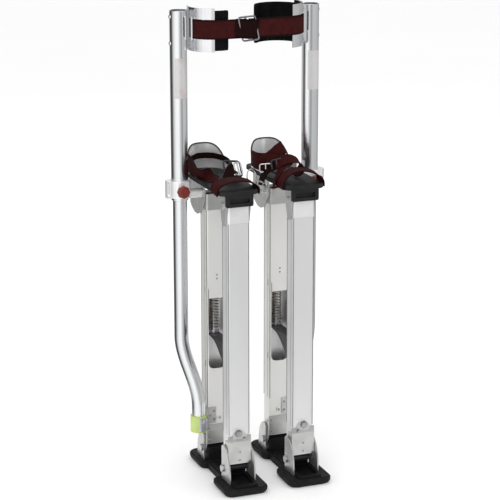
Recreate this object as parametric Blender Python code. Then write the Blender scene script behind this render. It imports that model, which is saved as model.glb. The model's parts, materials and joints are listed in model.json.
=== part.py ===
"""A pair of drywall stilts, standing side by side with their calf bands buckled together.

Metres, +Z up, toes towards -Y. Each stilt is drawn once in its own coordinates (u outwards
from its middle plane, y, z) and mirrored: the "right" stilt stands at -X, the "left" at +X.
"""
import math

import bmesh
import bpy
from mathutils import Matrix, Vector

# Driving dimensions.
STILT_SPACING = 0.137        # between the two stilts' middle planes
STRUT_SPACING = 0.124        # between the front and rear struts, and between all their pivots
AXLE_HEIGHT = 0.038          # lower pivots above the floor
PIVOT_HEIGHT = 0.579         # upper pivots, under the foot plate
GAP = 0.0003                 # between pieces that touch

STRUT_WIDTH = 0.044
STRUT_DEPTH = 0.034
STRUT_WALL = 0.002
OUTER_BOTTOM = 0.050
OUTER_TOP = 0.545
INNER_BOTTOM = 0.068
INNER_TOP = 0.574
COLLAR_TOP = 0.578
WINDOW = (0.212, 0.390)      # low and high edge of the rear strut's window
SPRING_SPAN = (0.2915, 0.3605)

CHEEK_INNER = 0.025          # sole bracket cheeks, measured from the middle plane
CHEEK_WALL = 0.003
TOE_CHEEK = (1, 0.088, -0.098, -0.052)       # which way it faces, its top, its two ends in y
HEEL_CHEEK = (-1, 0.0755, -0.092, -0.053)
PLATE_BASE = 0.0103
PLATE_WALL = 0.003
AXLE_R = 0.0040
ROLLER_R = 0.0070
ROLLER_HALF = 0.0218
FOOT_CHEEK_INNER = 0.0227
FOOT_CHEEK_WALL = 0.003
PIN_R = 0.0040
CLAMP_PIN_END = 0.0360          # the rear pivot pin reaches out into the tube clamp
MAT_BOTTOM = 0.6035
MAT_TOP = 0.612
MAT_HALF_WIDTH = 0.0415
MAT_FRONT = -0.0885
MAT_REAR = 0.140

LEG_U = 0.071                # leg tube axis, outwards from the stilt's middle plane
LOWER_TUBE_R = 0.0143
UPPER_TUBE_R = 0.0170
UPPER_TUBE_SPAN = (0.568, 0.945)
KNOB = (0.0745, 0.5905)      # u and z of the clamp's knob
LOWER_TUBE_TOP = 0.932
BUSHING = (0.042, 0.042)     # u and y of the leg tube's foot
BUSHING_SPAN = (0.084, 0.118)
BUSHING_R = 0.0173

BAND_R = 0.050               # outside of the calf band
BAND_WALL = 0.0016
BAND_SPAN = (0.866, 0.951)
BAND_ARC = (-25, 75)         # degrees from outwards, positive towards the toes
PAD_WALL = 0.008
PAD_ARC = {"right": (-40, 113), "left": (-153, -3)}
STRAP_WALL = 0.0022
STRAP_SPAN = (0.891, 0.929)

FRONT_Y = -STRUT_SPACING / 2
REAR_Y = STRUT_SPACING / 2
SIDES = {"right": -1, "left": 1}

ALUMINIUM = ("aluminium", (0.86, 0.86, 0.87), 0.28, 1.0)
PANEL = ("brushed_panel", (0.78, 0.78, 0.79), 0.42, 0.9)
STEEL = ("zinc_steel", (0.62, 0.62, 0.64), 0.35, 1.0)
SPRING_STEEL = ("spring_steel", (0.25, 0.23, 0.21), 0.35, 1.0)
BLACK_RUBBER = ("black_rubber", (0.02, 0.02, 0.02), 0.75, 0.0)
BLACK_PLASTIC = ("black_plastic", (0.025, 0.025, 0.028), 0.45, 0.0)
BLACK_FOAM = ("black_foam", (0.012, 0.012, 0.014), 0.9, 0.0)
WEBBING = ("burgundy_webbing", (0.10, 0.018, 0.018), 0.8, 0.0)
RED_KNOB = ("red_plastic", (0.35, 0.02, 0.012), 0.4, 0.0)
NYLON = ("green_nylon", (0.45, 0.60, 0.20), 0.45, 0.0)


# ---------------------------------------------------------------- drawing tools

def clear_scene():
    for item in list(bpy.data.objects):
        bpy.data.objects.remove(item, do_unlink=True)


def material(spec):
    name, colour, roughness, metallic = spec
    found = bpy.data.materials.get(name)
    if found:
        return found
    made = bpy.data.materials.new(name)
    made.use_nodes = True
    shader = made.node_tree.nodes["Principled BSDF"]
    shader.inputs["Base Color"].default_value = (*colour, 1.0)
    shader.inputs["Roughness"].default_value = roughness
    shader.inputs["Metallic"].default_value = metallic
    return made


def arc(centre, radius, start, end, steps):
    """Points of an arc, in degrees, both ends included."""
    points = []
    for i in range(steps + 1):
        angle = math.radians(start + (end - start) * i / steps)
        points.append((centre[0] + radius * math.cos(angle), centre[1] + radius * math.sin(angle)))
    return points


def circle(centre, radius, sides):
    return arc(centre, radius, 0, 360, sides)[:-1]


def rounded(x0, x1, y0, y1, radius, steps=4):
    """A rectangle with round corners, counterclockwise."""
    corners = ((x1, y1, 0), (x0, y1, 90), (x0, y0, 180), (x1, y0, 270))
    points = []
    for x, y, start in corners:
        cx = x - radius if x == x1 else x + radius
        cy = y - radius if y == y1 else y + radius
        points += arc((cx, cy), radius, start, start + 90, steps)
    return points


def loft(bm, rings, closed=False):
    """A skin over rings of equal length; the ends are capped unless closed."""
    levels = [[bm.verts.new(point) for point in ring] for ring in rings]
    count = len(levels[0])
    pairs = list(zip(levels, levels[1:]))
    if closed:
        pairs.append((levels[-1], levels[0]))
    for low, high in pairs:
        for i in range(count):
            j = (i + 1) % count
            bm.faces.new((low[i], low[j], high[j], high[i]))
    if not closed:
        bm.faces.new(list(reversed(levels[0])))
        bm.faces.new(levels[-1])


def spatial(point, axis, height):
    """A point of an outline drawn across an axis. X takes (y, z), Y takes (x, z), Z takes (x, y)."""
    first, second = point
    if axis == "X":
        return (height, first, second)
    if axis == "Y":
        return (first, height, second)
    return (first, second, height)


def prism(bm, outline, axis, low, high):
    loft(bm, [[spatial(p, axis, h) for p in outline] for h in (low, high)])


def box(bm, x, y, z):
    prism(bm, [(x[0], y[0]), (x[1], y[0]), (x[1], y[1]), (x[0], y[1])], "Z", z[0], z[1])


def rod(bm, centre, axis, radius, low, high, sides=20):
    prism(bm, circle(centre, radius, sides), axis, low, high)


def tapered(bm, outline_at, levels):
    """A stack of level outlines: outline_at(inset) at each (z, inset)."""
    loft(bm, [[(x, y, z) for x, y in outline_at(inset)] for z, inset in levels])


def sweep(bm, path, radius, sides, start_side=None, closed=False):
    """A round bar along a path of 3-D points."""
    rings = []
    side = Vector(start_side or (1, 0, 0))
    last = len(path) - 1
    for i, point in enumerate(path):
        ahead = Vector(path[min(i + 1, last)]) - Vector(path[max(i - 1, 0)])
        ahead.normalize()
        side = (side - ahead * side.dot(ahead)).normalized()
        across = ahead.cross(side)
        ring = []
        for k in range(sides):
            angle = 2 * math.pi * k / sides
            ring.append(Vector(point) + (side * math.cos(angle) + across * math.sin(angle)) * radius)
        rings.append(ring)
    loft(bm, rings, closed)


def ribbon(bm, path, wall, low, high):
    """Upright webbing: a plan path (x, y) thickened by wall to its left, from low to high."""
    ring_list = []
    last = len(path) - 1
    for i, point in enumerate(path):
        before = Vector(path[max(i - 1, 0)])
        after = Vector(path[min(i + 1, last)])
        ahead = (after - before).normalized()
        left = Vector((-ahead.y, ahead.x)) * wall
        near = Vector(point)
        far = near + left
        ring_list.append([(near.x, near.y, low), (near.x, near.y, high),
                          (far.x, far.y, high), (far.x, far.y, low)])
    loft(bm, ring_list)


def shape(*steps):
    """A bmesh filled by drawing steps: each is (function, *arguments)."""
    bm = bmesh.new()
    for step, *values in steps:
        step(bm, *values)
    return bm


def finish_object(name, bm, placing):
    """A mesh object from a bmesh drawn in stilt coordinates, its faces turned outwards."""
    bmesh.ops.transform(bm, matrix=placing, verts=bm.verts)
    bmesh.ops.recalc_face_normals(bm, faces=bm.faces)
    mesh = bpy.data.meshes.new(name)
    bm.to_mesh(mesh)
    bm.free()
    made = bpy.data.objects.new(name, mesh)
    bpy.context.scene.collection.objects.link(made)
    return made


def add_boolean(target, tool, operation):
    tool.hide_render = True
    tool.hide_viewport = False
    tool.display_type = "WIRE"
    modifier = target.modifiers.new(operation.lower(), "BOOLEAN")
    modifier.operation = operation
    modifier.object = tool


class Stilt:
    """One stilt: places its pieces, mirrored to its side, under empties on the joint axes."""

    def __init__(self, side):
        self.side = side
        self.sign = SIDES[side]
        self.middle = self.sign * STILT_SPACING / 2
        self.placing = Matrix.Translation((self.middle, 0, 0)) @ Matrix.Scale(self.sign, 4, (1, 0, 0))
        self.anchors = {}

    def anchor(self, name, point):
        """An empty on a moving piece's joint axis."""
        empty = bpy.data.objects.new(self.side + "_" + name + "_axis", None)
        empty.location = self.placing @ Vector(point)
        bpy.context.scene.collection.objects.link(empty)
        self.anchors[name] = empty

    def piece(self, name, bm, look, anchor=None, cut=None, joins=()):
        """A named sub-part: its solid, what is joined to it and what is cut from it."""
        made = finish_object(self.side + "_" + name, bm, self.placing)
        for i, extra in enumerate(joins):
            tool = finish_object(f"{made.name}.join{i}", extra, self.placing)
            add_boolean(made, tool, "UNION")
        if cut is not None:
            tool = finish_object(made.name + ".cut", cut, self.placing)
            add_boolean(made, tool, "DIFFERENCE")
        dress(made, look)
        if anchor:
            hold(made, self.anchors[anchor])
        return made

    def change(self, made, label, bm, operation):
        """Join to a piece, or cut from it, one more solid in stilt coordinates."""
        add_boolean(made, finish_object(made.name + "." + label, bm, self.placing), operation)


def dress(made, look):
    made.data.materials.append(material(look))
    made.data.shade_smooth()
    made.data.set_sharp_from_angle(angle=math.radians(32))


def hold(made, empty):
    made.parent = empty
    made.matrix_parent_inverse = Matrix.Translation(-empty.location)


# ---------------------------------------------------------------- sole

def pad_outline(half, y0, y1, radius):
    def at(inset):
        return rounded(-half + inset, half - inset, y0 + inset, y1 - inset, radius - inset / 2)
    return at


def sole(stilt):
    """Rubber outsole moulded over the floor plate: toe and heel pads, each with a raised tray and
    a bumper beside the axle, joined by a ribbed waist."""
    deck = 0.0155
    pad_levels = [(0, 0.004), (0.006, 0), (0.0125, 0), (deck, 0.003)]
    toe = shape((tapered, pad_outline(0.046, -0.130, -0.040, 0.017), pad_levels))
    heel = shape((tapered, pad_outline(0.040, 0.032, 0.120, 0.017), pad_levels))
    waist_levels = [(0.001, 0), (0.013, 0), (0.015, 0.002)]
    waist = shape((tapered, pad_outline(0.026, -0.062, 0.062, 0.008), waist_levels))
    ribs = bmesh.new()
    for u in (-0.019, 0.019):
        box(ribs, (u - 0.003, u + 0.003), (-0.040, 0.040), (0.010, 0.0185))
    tray_half = CHEEK_INNER - 0.0005
    rims = bmesh.new()
    bumpers = bmesh.new()
    recesses = bmesh.new()
    for flip, end, recess_end, height in ((1, -0.122, -0.115, 0.0410), (-1, -0.104, -0.097, 0.0430)):
        y0, y1 = sorted((flip * end, flip * -0.044))
        prism(rims, rounded(-tray_half, tray_half, y0, y1, 0.004, 2), "Z", 0.012, 0.0205)
        y0, y1 = sorted((flip * -0.0495, flip * -0.042))
        box(bumpers, (-0.0215, 0.0215), (y0, y1), (0.011, height))
        y0, y1 = sorted((flip * recess_end, flip * -0.053))
        prism(recesses, rounded(-0.017, 0.017, y0, y1, 0.003, 2), "Z", 0.0152, 0.03)
    made = stilt.piece("sole", toe, BLACK_RUBBER, cut=recesses, joins=(heel, waist, ribs, rims, bumpers))
    low, high = PLATE_BASE - GAP, PLATE_BASE + PLATE_WALL + GAP
    outer = CHEEK_INNER + CHEEK_WALL + GAP
    plates = bmesh.new()
    cheeks = bmesh.new()
    for ends in (TOE_CHEEK, HEEL_CHEEK):
        flip, _, toe_edge, strut_edge = ends
        y0, y1 = sorted((flip * (-0.068 - GAP), flip * (strut_edge + GAP)))
        box(plates, (-outer, outer), (y0, y1), (low, high))
        y0, y1 = sorted((flip * (toe_edge - GAP), flip * (strut_edge + GAP)))
        for u0, u1 in ((-outer, GAP - CHEEK_INNER), (CHEEK_INNER - GAP, outer)):
            box(cheeks, (u0, u1), (y0, y1), (low, 0.03))
    rail = shape((box, (-0.012 - GAP, 0.012 + GAP), (-0.060 - GAP, 0.060 + GAP), (low, high)))
    stilt.change(made, "plates", plates, "DIFFERENCE")
    stilt.change(made, "rail", rail, "DIFFERENCE")
    stilt.change(made, "cheeks", cheeks, "DIFFERENCE")


def bracket_outline(toe_edge, strut_edge, top, base):
    """Cheek of a sole bracket in (y, z), for the toe end: curved front, upright back."""
    reach = strut_edge - toe_edge - 0.008
    points = [(strut_edge, base), (strut_edge, top - 0.006), (strut_edge - 0.008, top)]
    for i in range(1, 9):
        angle = math.radians(90 * i / 8)
        points.append((strut_edge - 0.008 - reach * math.sin(angle), 0.026 + (top - 0.026) * math.cos(angle)))
    points.append((toe_edge, base))
    return points


def floor_plate(stilt):
    """Aluminium plate in the sole: a narrow rail with two cheeks at each end for the axles."""
    base = PLATE_BASE
    floor = PLATE_WALL
    outer = CHEEK_INNER + CHEEK_WALL
    rail = shape((box, (-0.012, 0.012), (-0.060, 0.060), (base, base + floor)))
    ends = []
    channels = bmesh.new()
    holes = bmesh.new()
    for flip, top, toe_edge, strut_edge in (TOE_CHEEK, HEEL_CHEEK):
        outline = bracket_outline(toe_edge, strut_edge, top, base)
        ends.append(shape((prism, [(flip * y, z) for y, z in outline], "X", -outer, outer)))
        step = [(-0.110, base - 0.01), (-0.068, base - 0.01), (-0.068, base + floor), (-0.040, base + floor),
                (-0.040, 0.12), (-0.110, 0.12)]
        prism(channels, [(flip * y, z) for y, z in step], "X", -CHEEK_INNER, CHEEK_INNER)
        rod(holes, (flip * FRONT_Y, AXLE_HEIGHT), "X", AXLE_R + 0.0003, -0.04, 0.04, 16)
    made = stilt.piece("floor_plate", rail, ALUMINIUM, cut=channels, joins=ends)
    stilt.change(made, "holes", holes, "DIFFERENCE")


def axle(stilt, name, y_middle):
    """Bolt through the cheeks, with its head, nut and the roller between the strut's ears."""
    outer = CHEEK_INNER + CHEEK_WALL
    head = 0.0072
    profile = [(head, -outer - 0.0045), (head, -outer - GAP), (AXLE_R, -outer - GAP), (AXLE_R, -ROLLER_HALF),
               (ROLLER_R, -ROLLER_HALF), (ROLLER_R, ROLLER_HALF), (AXLE_R, ROLLER_HALF),
               (AXLE_R, outer + GAP), (head, outer + GAP), (head, outer + 0.0045)]
    rings = []
    for radius, u in profile:
        rings.append([(u, y, z) for y, z in circle((y_middle, AXLE_HEIGHT), radius, 12)])
    bm = bmesh.new()
    loft(bm, rings)
    stilt.piece(name, bm, STEEL)


# ---------------------------------------------------------------- lower struts

def strut_section(y_middle, inset, steps=2):
    """Outline of the strut's section, moved in by inset."""
    half = STRUT_WIDTH / 2 - inset
    deep = STRUT_DEPTH / 2 - inset
    radius = max(0.0035 - inset, 0.001)
    return rounded(-half, half, y_middle - deep, y_middle + deep, radius, steps)


def outer_strut(stilt, place, y_middle):
    """Rectangular tube. The front one has a sunk panel, the rear one the spring's window and seat."""
    body = shape((prism, strut_section(y_middle, 0), "Z", OUTER_BOTTOM, OUTER_TOP))
    bore = shape((prism, strut_section(y_middle, STRUT_WALL), "Z", OUTER_BOTTOM - 0.01, OUTER_TOP + 0.01))
    face = y_middle - STRUT_DEPTH / 2
    made = stilt.piece(place + "_outer_strut", body, PANEL, anchor=place + "_lower", cut=bore)
    if place == "front":
        recess = shape((box, (-0.018, 0.018), (face - 0.005, face + 0.0008), (0.126, OUTER_TOP + 0.005)))
        stilt.change(made, "recess", recess, "DIFFERENCE")
        return
    slots = bmesh.new()
    for z in (WINDOW[0] + 0.004, WINDOW[1] - 0.018):
        box(slots, (-0.03, 0.03), (face + 0.008, face + 0.013), (z, z + 0.014))
    opening = rounded(-0.0185, 0.0185, *WINDOW, 0.012, 5)
    window = shape((prism, opening, "Y", face - 0.005, face + 0.006))
    bolt = shape((rod, (-0.002, 0.106), "Y", 0.0048, face - 0.0035, face + 0.001, 6))
    stilt.change(made, "window", window, "DIFFERENCE")
    stilt.change(made, "slots", slots, "DIFFERENCE")
    stilt.change(made, "seat", spring_seat(), "UNION")
    stilt.change(made, "bolt", bolt, "UNION")


def spring_seat():
    """Bent plate behind the window's top edge; the spring's upper end bears on it."""
    y0 = REAR_Y - STRUT_DEPTH / 2 + STRUT_WALL - 0.0005
    y1 = REAR_Y + 0.011
    z0 = SPRING_SPAN[1] + 0.0005
    wall = 0.0018
    outline = [(y0, z0), (y1, z0), (y1, z0 + wall), (y0 + 0.004, z0 + wall), (y1, z0 + 0.024),
               (y1, z0 + 0.028), (y0 + wall, z0 + 0.010), (y0 + wall, z0 + 0.040), (y0, z0 + 0.040)]
    return shape((prism, outline, "X", -0.0165, 0.0165))


def lower_block(stilt, place, y_middle, web_span, tongue):
    """U-shaped foot of a strut: web across its front, two ears that turn on the axle; its bolts."""
    inner = STRUT_WIDTH / 2 + GAP
    outer = inner + 0.002
    face = y_middle - STRUT_DEPTH / 2 - GAP
    proud = 0.0025
    low, high = web_span
    web = [(face, low), (face, high), (face - 0.0006, high), (face - proud, high - 0.012),
           (face - proud, low)]
    body = shape((prism, web, "X", -outer, outer))
    ear = arc((y_middle, AXLE_HEIGHT), 0.0105, -150, -30, 6)
    ear += [(y_middle + 0.0105, 0.062), (y_middle - 0.002, high - 0.012)]
    ear += [(face - proud + 0.0004, high - 0.012), (face - proud + 0.0004, low + 0.001)]
    ears = [shape((prism, ear, "X", a, b)) for a, b in ((-outer, -inner), (inner, outer))]
    holes = shape((rod, (y_middle, AXLE_HEIGHT), "X", 0.0043, -0.04, 0.04, 16))
    if tongue:
        dome = [(-0.014, high - 0.016)] + arc((0, high - 0.002), 0.014, 180, 0, 10)
        dome += [(0.014, high - 0.016)]
        ears.append(shape((prism, dome, "Y", face - 0.0016, face)))
        ears.append(shape((rod, (0.002, high + 0.004), "Y", 0.0052, face - 0.0052, face - 0.0010, 6)))
        ears.append(shape((rod, (-0.009, high - 0.008), "Y", 0.0024, face - 0.0050, face - 0.0010, 10)))
        for z in (high - 0.034, high - 0.051):
            rod(holes, (0, z), "Y", 0.0022, face - 0.01, face + 0.001, 10)
    stilt.piece(place + "_lower_block", body, ALUMINIUM, anchor=place + "_lower", cut=holes, joins=ears)


def spring_arm(stilt):
    """Black blade on the back of the front strut; its tip reaches under the spring's slider."""
    back = FRONT_Y + STRUT_DEPTH / 2 + GAP
    top = 0.2846
    tip = REAR_Y + 0.004
    under = [(tip, top - 0.0055), (REAR_Y - 0.014, top - 0.0075)]
    foot = (back, 0.236)
    for i in range(1, 9):
        t = i / 8
        y = under[1][0] + (foot[0] + 0.004 - under[1][0]) * t
        under.append((y, under[1][1] + (foot[1] - under[1][1]) * math.sin(t * math.pi / 2) ** 2))
    outline = [(tip, top)] + under + [foot, (back, 0.300), (back + 0.0025, 0.300), (back + 0.0025, top)]
    body = shape((prism, outline, "X", -0.0105, 0.0105))
    stilt.piece("spring_arm", body, BLACK_PLASTIC, anchor="front_lower")


def spring(stilt):
    """Open coil between the slider and the seat, with closed ends."""
    turns = 11
    steps = 8
    wire = 0.0013
    mean = 0.0084
    low = SPRING_SPAN[0] + wire
    high = SPRING_SPAN[1] - wire
    path = []
    for i in range(turns * steps + 1):
        angle = 2 * math.pi * i / steps
        t = i / (turns * steps)
        path.append((mean * math.cos(angle), REAR_Y + mean * math.sin(angle), low + (high - low) * t))
    stilt.piece("spring", shape((sweep, path, wire, 4)), SPRING_STEEL, anchor="rear_lower")


def spring_rod(stilt):
    """Slider disc on the arm with the short pin that guides the spring."""
    disc = shape((rod, (0, REAR_Y), "Z", 0.0096, 0.2850, 0.2912, 24))
    pin = shape((rod, (0, REAR_Y), "Z", 0.0055, 0.2900, 0.3270, 16))
    stilt.piece("spring_rod", disc, STEEL, anchor="spring_rod", joins=(pin,))


# ---------------------------------------------------------------- leg tube

def leg_path():
    """Axis of the lower leg tube: upright, an S-bend in and forwards, upright into its bushing."""
    bend_top = 0.285
    bend_low = 0.140
    points = [(LEG_U, REAR_Y, LOWER_TUBE_TOP), (LEG_U, REAR_Y, bend_top)]
    steps = 9
    for i in range(1, steps + 1):
        t = i / steps
        ease = t * t * (3 - 2 * t)
        points.append((LEG_U + (BUSHING[0] - LEG_U) * ease, REAR_Y + (BUSHING[1] - REAR_Y) * ease,
                       bend_top + (bend_low - bend_top) * t))
    points.append((BUSHING[0], BUSHING[1], BUSHING_SPAN[0] + 0.002))
    return points


def lower_leg_tube(stilt):
    path = leg_path()
    first, last = path[0], path[-1]
    bore = [(first[0], first[1], first[2] + 0.01)] + path + [(last[0], last[1], last[2] - 0.01)]
    stilt.piece("lower_leg_tube", shape((sweep, path, LOWER_TUBE_R, 18)), ALUMINIUM, anchor="rear_lower",
                cut=shape((sweep, bore, LOWER_TUBE_R - 0.0018, 10)))


def tube_bushing(stilt):
    """Nylon sleeve round the leg tube's foot."""
    body = shape((rod, BUSHING, "Z", BUSHING_R, *BUSHING_SPAN, 24))
    cut = shape((rod, BUSHING, "Z", LOWER_TUBE_R + GAP, BUSHING_SPAN[0] - 0.01, BUSHING_SPAN[1] + 0.01, 20))
    stilt.piece("tube_bushing", body, NYLON, anchor="rear_lower", cut=cut)


def tube_bracket(stilt):
    """Plate folded round the rear strut's front corner, with the ring and bolt that hold the bushing."""
    inner = STRUT_WIDTH / 2 + GAP
    outer = inner + 0.0020
    face = REAR_Y - STRUT_DEPTH / 2 - GAP
    plate = [(0.004, face), (0.004, face - 0.0022), (outer, face - 0.0022), (outer, face + 0.032),
             (inner, face + 0.032), (inner, face)]
    body = shape((prism, plate, "Z", 0.096, 0.130))
    ring = shape((rod, BUSHING, "Z", BUSHING_R + 0.0022, 0.094, 0.106, 24))
    bolt = shape((rod, (BUSHING[0] - 0.012, 0.100), "Y", 0.0055, BUSHING[1] - 0.0245, BUSHING[1] - 0.012, 6))
    made = stilt.piece("tube_bracket", body, STEEL, anchor="rear_lower", joins=(ring, bolt))
    holes = bmesh.new()
    for u, z in ((0.009, 0.122), (0.009, 0.104), (0.017, 0.113)):
        rod(holes, (u, z), "Y", 0.0024, face - 0.01, face + 0.0005, 10)
    stilt.change(made, "holes", holes, "DIFFERENCE")
    bore = shape((rod, BUSHING, "Z", BUSHING_R + GAP, 0.05, 0.15, 24))
    stilt.change(made, "bore", bore, "DIFFERENCE")


def upper_leg_tube(stilt):
    """Open sleeve that slides on the lower tube and carries the calf band."""
    low, high = UPPER_TUBE_SPAN
    body = shape((rod, (LEG_U, REAR_Y), "Z", UPPER_TUBE_R, low, high, 28))
    bore = shape((rod, (LEG_U, REAR_Y), "Z", LOWER_TUBE_R + 0.0005, low - 0.01, high + 0.01, 20))
    heads = []
    for z in (0.881, 0.933):
        heads.append(shape((rod, (REAR_Y, z), "X", 0.0042, LEG_U + UPPER_TUBE_R - 0.001,
                            LEG_U + UPPER_TUBE_R + 0.0028, 12)))
    stilt.piece("upper_leg_tube", body, ALUMINIUM, anchor="leg_tube", cut=bore, joins=heads)


def tube_clamp(stilt):
    """Ring round the upper tube with its outer ear, on an arm that turns on the rear pivot pin."""
    span = (0.574, 0.609)
    ring = shape((rod, (LEG_U, REAR_Y), "Z", 0.0215, *span, 28))
    ear_outline = rounded(LEG_U + 0.010, LEG_U + 0.029, REAR_Y - 0.011, REAR_Y + 0.011, 0.006, 4)
    ear = shape((prism, ear_outline, "Z", *span))
    boss = shape((rod, KNOB, "Y", 0.0085, REAR_Y - 0.026, REAR_Y - 0.010, 20))
    inner = FOOT_CHEEK_INNER + FOOT_CHEEK_WALL + 0.0006
    low, high = PIVOT_HEIGHT - 0.0085, PIVOT_HEIGHT + 0.0085
    arm_outline = rounded(REAR_Y - 0.009, REAR_Y + 0.009, low, high, 0.004, 3)
    arm = shape((prism, arm_outline, "X", inner, LEG_U - 0.018))
    cut = shape((rod, (LEG_U, REAR_Y), "Z", UPPER_TUBE_R + GAP, 0.5, 0.65, 28),
                (rod, (REAR_Y, PIVOT_HEIGHT), "X", PIN_R + 0.0004, 0.02, CLAMP_PIN_END + 0.0015, 16))
    stilt.piece("tube_clamp", ring, ALUMINIUM, anchor="rear_upper", cut=cut, joins=(ear, boss, arm))


def clamp_knob(stilt):
    """Red knob in front of the clamp: round grip with flutes, turning on the clamp's boss."""
    middle, z = KNOB
    grip_r = 0.0125
    back = REAR_Y - 0.026 - GAP
    outline = []
    for i in range(32):
        angle = 2 * math.pi * i / 32
        radius = grip_r - 0.0011 * (0.5 - 0.5 * math.cos(8 * angle))
        outline.append((middle + radius * math.cos(angle), z + radius * math.sin(angle)))

    def ring(scale, y):
        return [(middle + (u - middle) * scale, y, z + (w - z) * scale) for u, w in outline]

    bm = bmesh.new()
    loft(bm, [ring(0.8, back), ring(1, back - 0.003), ring(1, back - 0.011), ring(0.88, back - 0.0135)])
    stilt.piece("clamp_knob", bm, RED_KNOB, anchor="clamp_knob")


# ---------------------------------------------------------------- upper struts

def inner_strut(stilt, place, y_middle, open_to):
    """U-channel that slides in the outer strut; open_to is -1 towards the toes, 1 towards the heel."""
    half = STRUT_WIDTH / 2 - STRUT_WALL - GAP
    deep = STRUT_DEPTH / 2 - STRUT_WALL - GAP
    wall = 0.002
    front = y_middle + open_to * (deep - 0.001)
    back = y_middle - open_to * deep
    web = back + open_to * wall
    shoulder = back + open_to * 0.0015
    section = [(-half, front), (-half, shoulder), (0.0015 - half, back), (half - 0.0015, back),
               (half, shoulder), (half, front), (half - wall, front), (half - wall, web),
               (wall - half, web), (wall - half, front)]
    body = shape((prism, section, "Z", INNER_BOTTOM, INNER_TOP))
    cut = shape((rod, (y_middle, PIVOT_HEIGHT), "X", 0.0125, -half - 0.01, half + 0.01, 20))
    stilt.piece(place + "_inner_strut", body, ALUMINIUM, anchor=place + "_upper", cut=cut)


def upper_bracket(stilt, place, y_middle):
    """Collar on the inner strut's top, resting on the outer strut, with ears for the pivot pin."""
    low = OUTER_TOP + GAP
    half = STRUT_WIDTH / 2
    hollow = STRUT_WALL
    body = shape((prism, strut_section(y_middle, 0), "Z", low, COLLAR_TOP))
    ear = arc((y_middle, PIVOT_HEIGHT), 0.0115, 0, 180, 10) + [(y_middle - 0.0115, low + 0.004),
                                                               (y_middle + 0.0115, low + 0.004)]
    ears = [shape((prism, ear, "X", a, b)) for a, b in ((-half, hollow - half), (half - hollow, half))]
    cut = shape((prism, strut_section(y_middle, hollow), "Z", low - 0.01, COLLAR_TOP + 0.02))
    holes = shape((rod, (y_middle, PIVOT_HEIGHT), "X", 0.0043, -0.04, 0.04, 16))
    made = stilt.piece(place + "_upper_bracket", body, ALUMINIUM, anchor=place + "_upper", joins=ears,
                       cut=cut)
    stilt.change(made, "holes", holes, "DIFFERENCE")


# ---------------------------------------------------------------- foot plate

def foot_frame(stilt):
    """Channel under the foot: web, tapered front cheeks, deep rear cheeks, and both pivot pins."""
    web_low, web_high = 0.600, MAT_BOTTOM - GAP
    outer = FOOT_CHEEK_INNER + FOOT_CHEEK_WALL
    body = shape((box, (-outer, outer), (-0.079, 0.130), (web_low, web_high)))
    front = [(-0.079, web_high - 0.001), (-0.079, 0.580), (-0.070, 0.543), (-0.060, 0.538), (-0.053, 0.545),
             (-0.044, 0.578), (-0.040, web_high - 0.001)]
    rear = [(0.046, web_high - 0.001), (0.046, 0.566), (0.060, 0.548), (0.074, 0.534), (0.088, 0.529),
            (0.104, 0.530), (0.120, 0.537), (0.130, 0.546), (0.130, web_high - 0.001)]
    joins = []
    for outline in (front, rear):
        for a, b in ((-outer, -FOOT_CHEEK_INNER), (FOOT_CHEEK_INNER, outer)):
            joins.append(shape((prism, outline, "X", a, b)))
    for y, reach in ((FRONT_Y, 0.0290), (REAR_Y, CLAMP_PIN_END)):
        joins.append(shape((rod, (y, PIVOT_HEIGHT), "X", PIN_R, -0.0290, reach, 16)))
        joins.append(shape((rod, (y, PIVOT_HEIGHT), "X", 0.0072, -0.0302, -outer + 0.001, 6)))
    joins.append(shape((rod, (FRONT_Y, PIVOT_HEIGHT), "X", 0.0072, outer - 0.001, 0.0302, 6)))
    stilt.piece("foot_frame", body, ALUMINIUM, anchor="foot", joins=joins)


def foot_mat(stilt):
    """Black plate that the shoe stands on, turned down at the toes into a slotted end piece."""
    def outline(inset):
        return rounded(-MAT_HALF_WIDTH + inset, MAT_HALF_WIDTH - inset, MAT_FRONT + inset, MAT_REAR - inset,
                       0.016 - inset, 5)
    body = shape((tapered, outline, [(MAT_BOTTOM, 0), (MAT_TOP - 0.0012, 0), (MAT_TOP, 0.0012)]))
    y0, y1 = -0.0870, -0.0795
    z0, z1 = 0.5800, MAT_BOTTOM + 0.002
    lip = shape((prism, rounded(-0.028, 0.028, z0, z1, 0.003, 3), "Y", y0, y1))
    slot_outline = rounded(-0.020, 0.020, z0 + 0.007, z1 - 0.009, 0.0015, 2)
    slot = shape((prism, slot_outline, "Y", y0 - 0.005, y0 + 0.005))
    stilt.piece("foot_mat", body, BLACK_RUBBER, anchor="foot", cut=slot, joins=(lip,))


def heel_cup(stilt):
    """Polished plate bent round the heel, its top edge rising in an arch at the back."""
    radius = 0.0405
    wall = 0.0022
    centre_y = 0.096
    low = MAT_TOP + GAP
    plan = [(radius, 0.052), (radius, 0.064), (radius, 0.080)]
    plan += arc((0, centre_y), radius, 0, 180, 20)
    plan += [(-radius, 0.080), (-radius, 0.064), (-radius, 0.052)]
    rings = []
    last = len(plan) - 1
    for i, (u, y) in enumerate(plan):
        back = max(0.0, (y - 0.052) / (centre_y + radius - 0.052))
        high = 0.627 + 0.037 * (back * back * (3 - 2 * back))
        before, after = Vector(plan[max(i - 1, 0)]), Vector(plan[min(i + 1, last)])
        ahead = (after - before).normalized()
        inward = Vector((-ahead.y, ahead.x)) * wall
        u_in, y_in = u + inward.x, y + inward.y
        rings.append([(u, y, low), (u, y, high), (u_in, y_in, high), (u_in, y_in, low)])
    bm = bmesh.new()
    loft(bm, rings)
    stilt.piece("heel_cup", bm, ALUMINIUM, anchor="foot")


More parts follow.
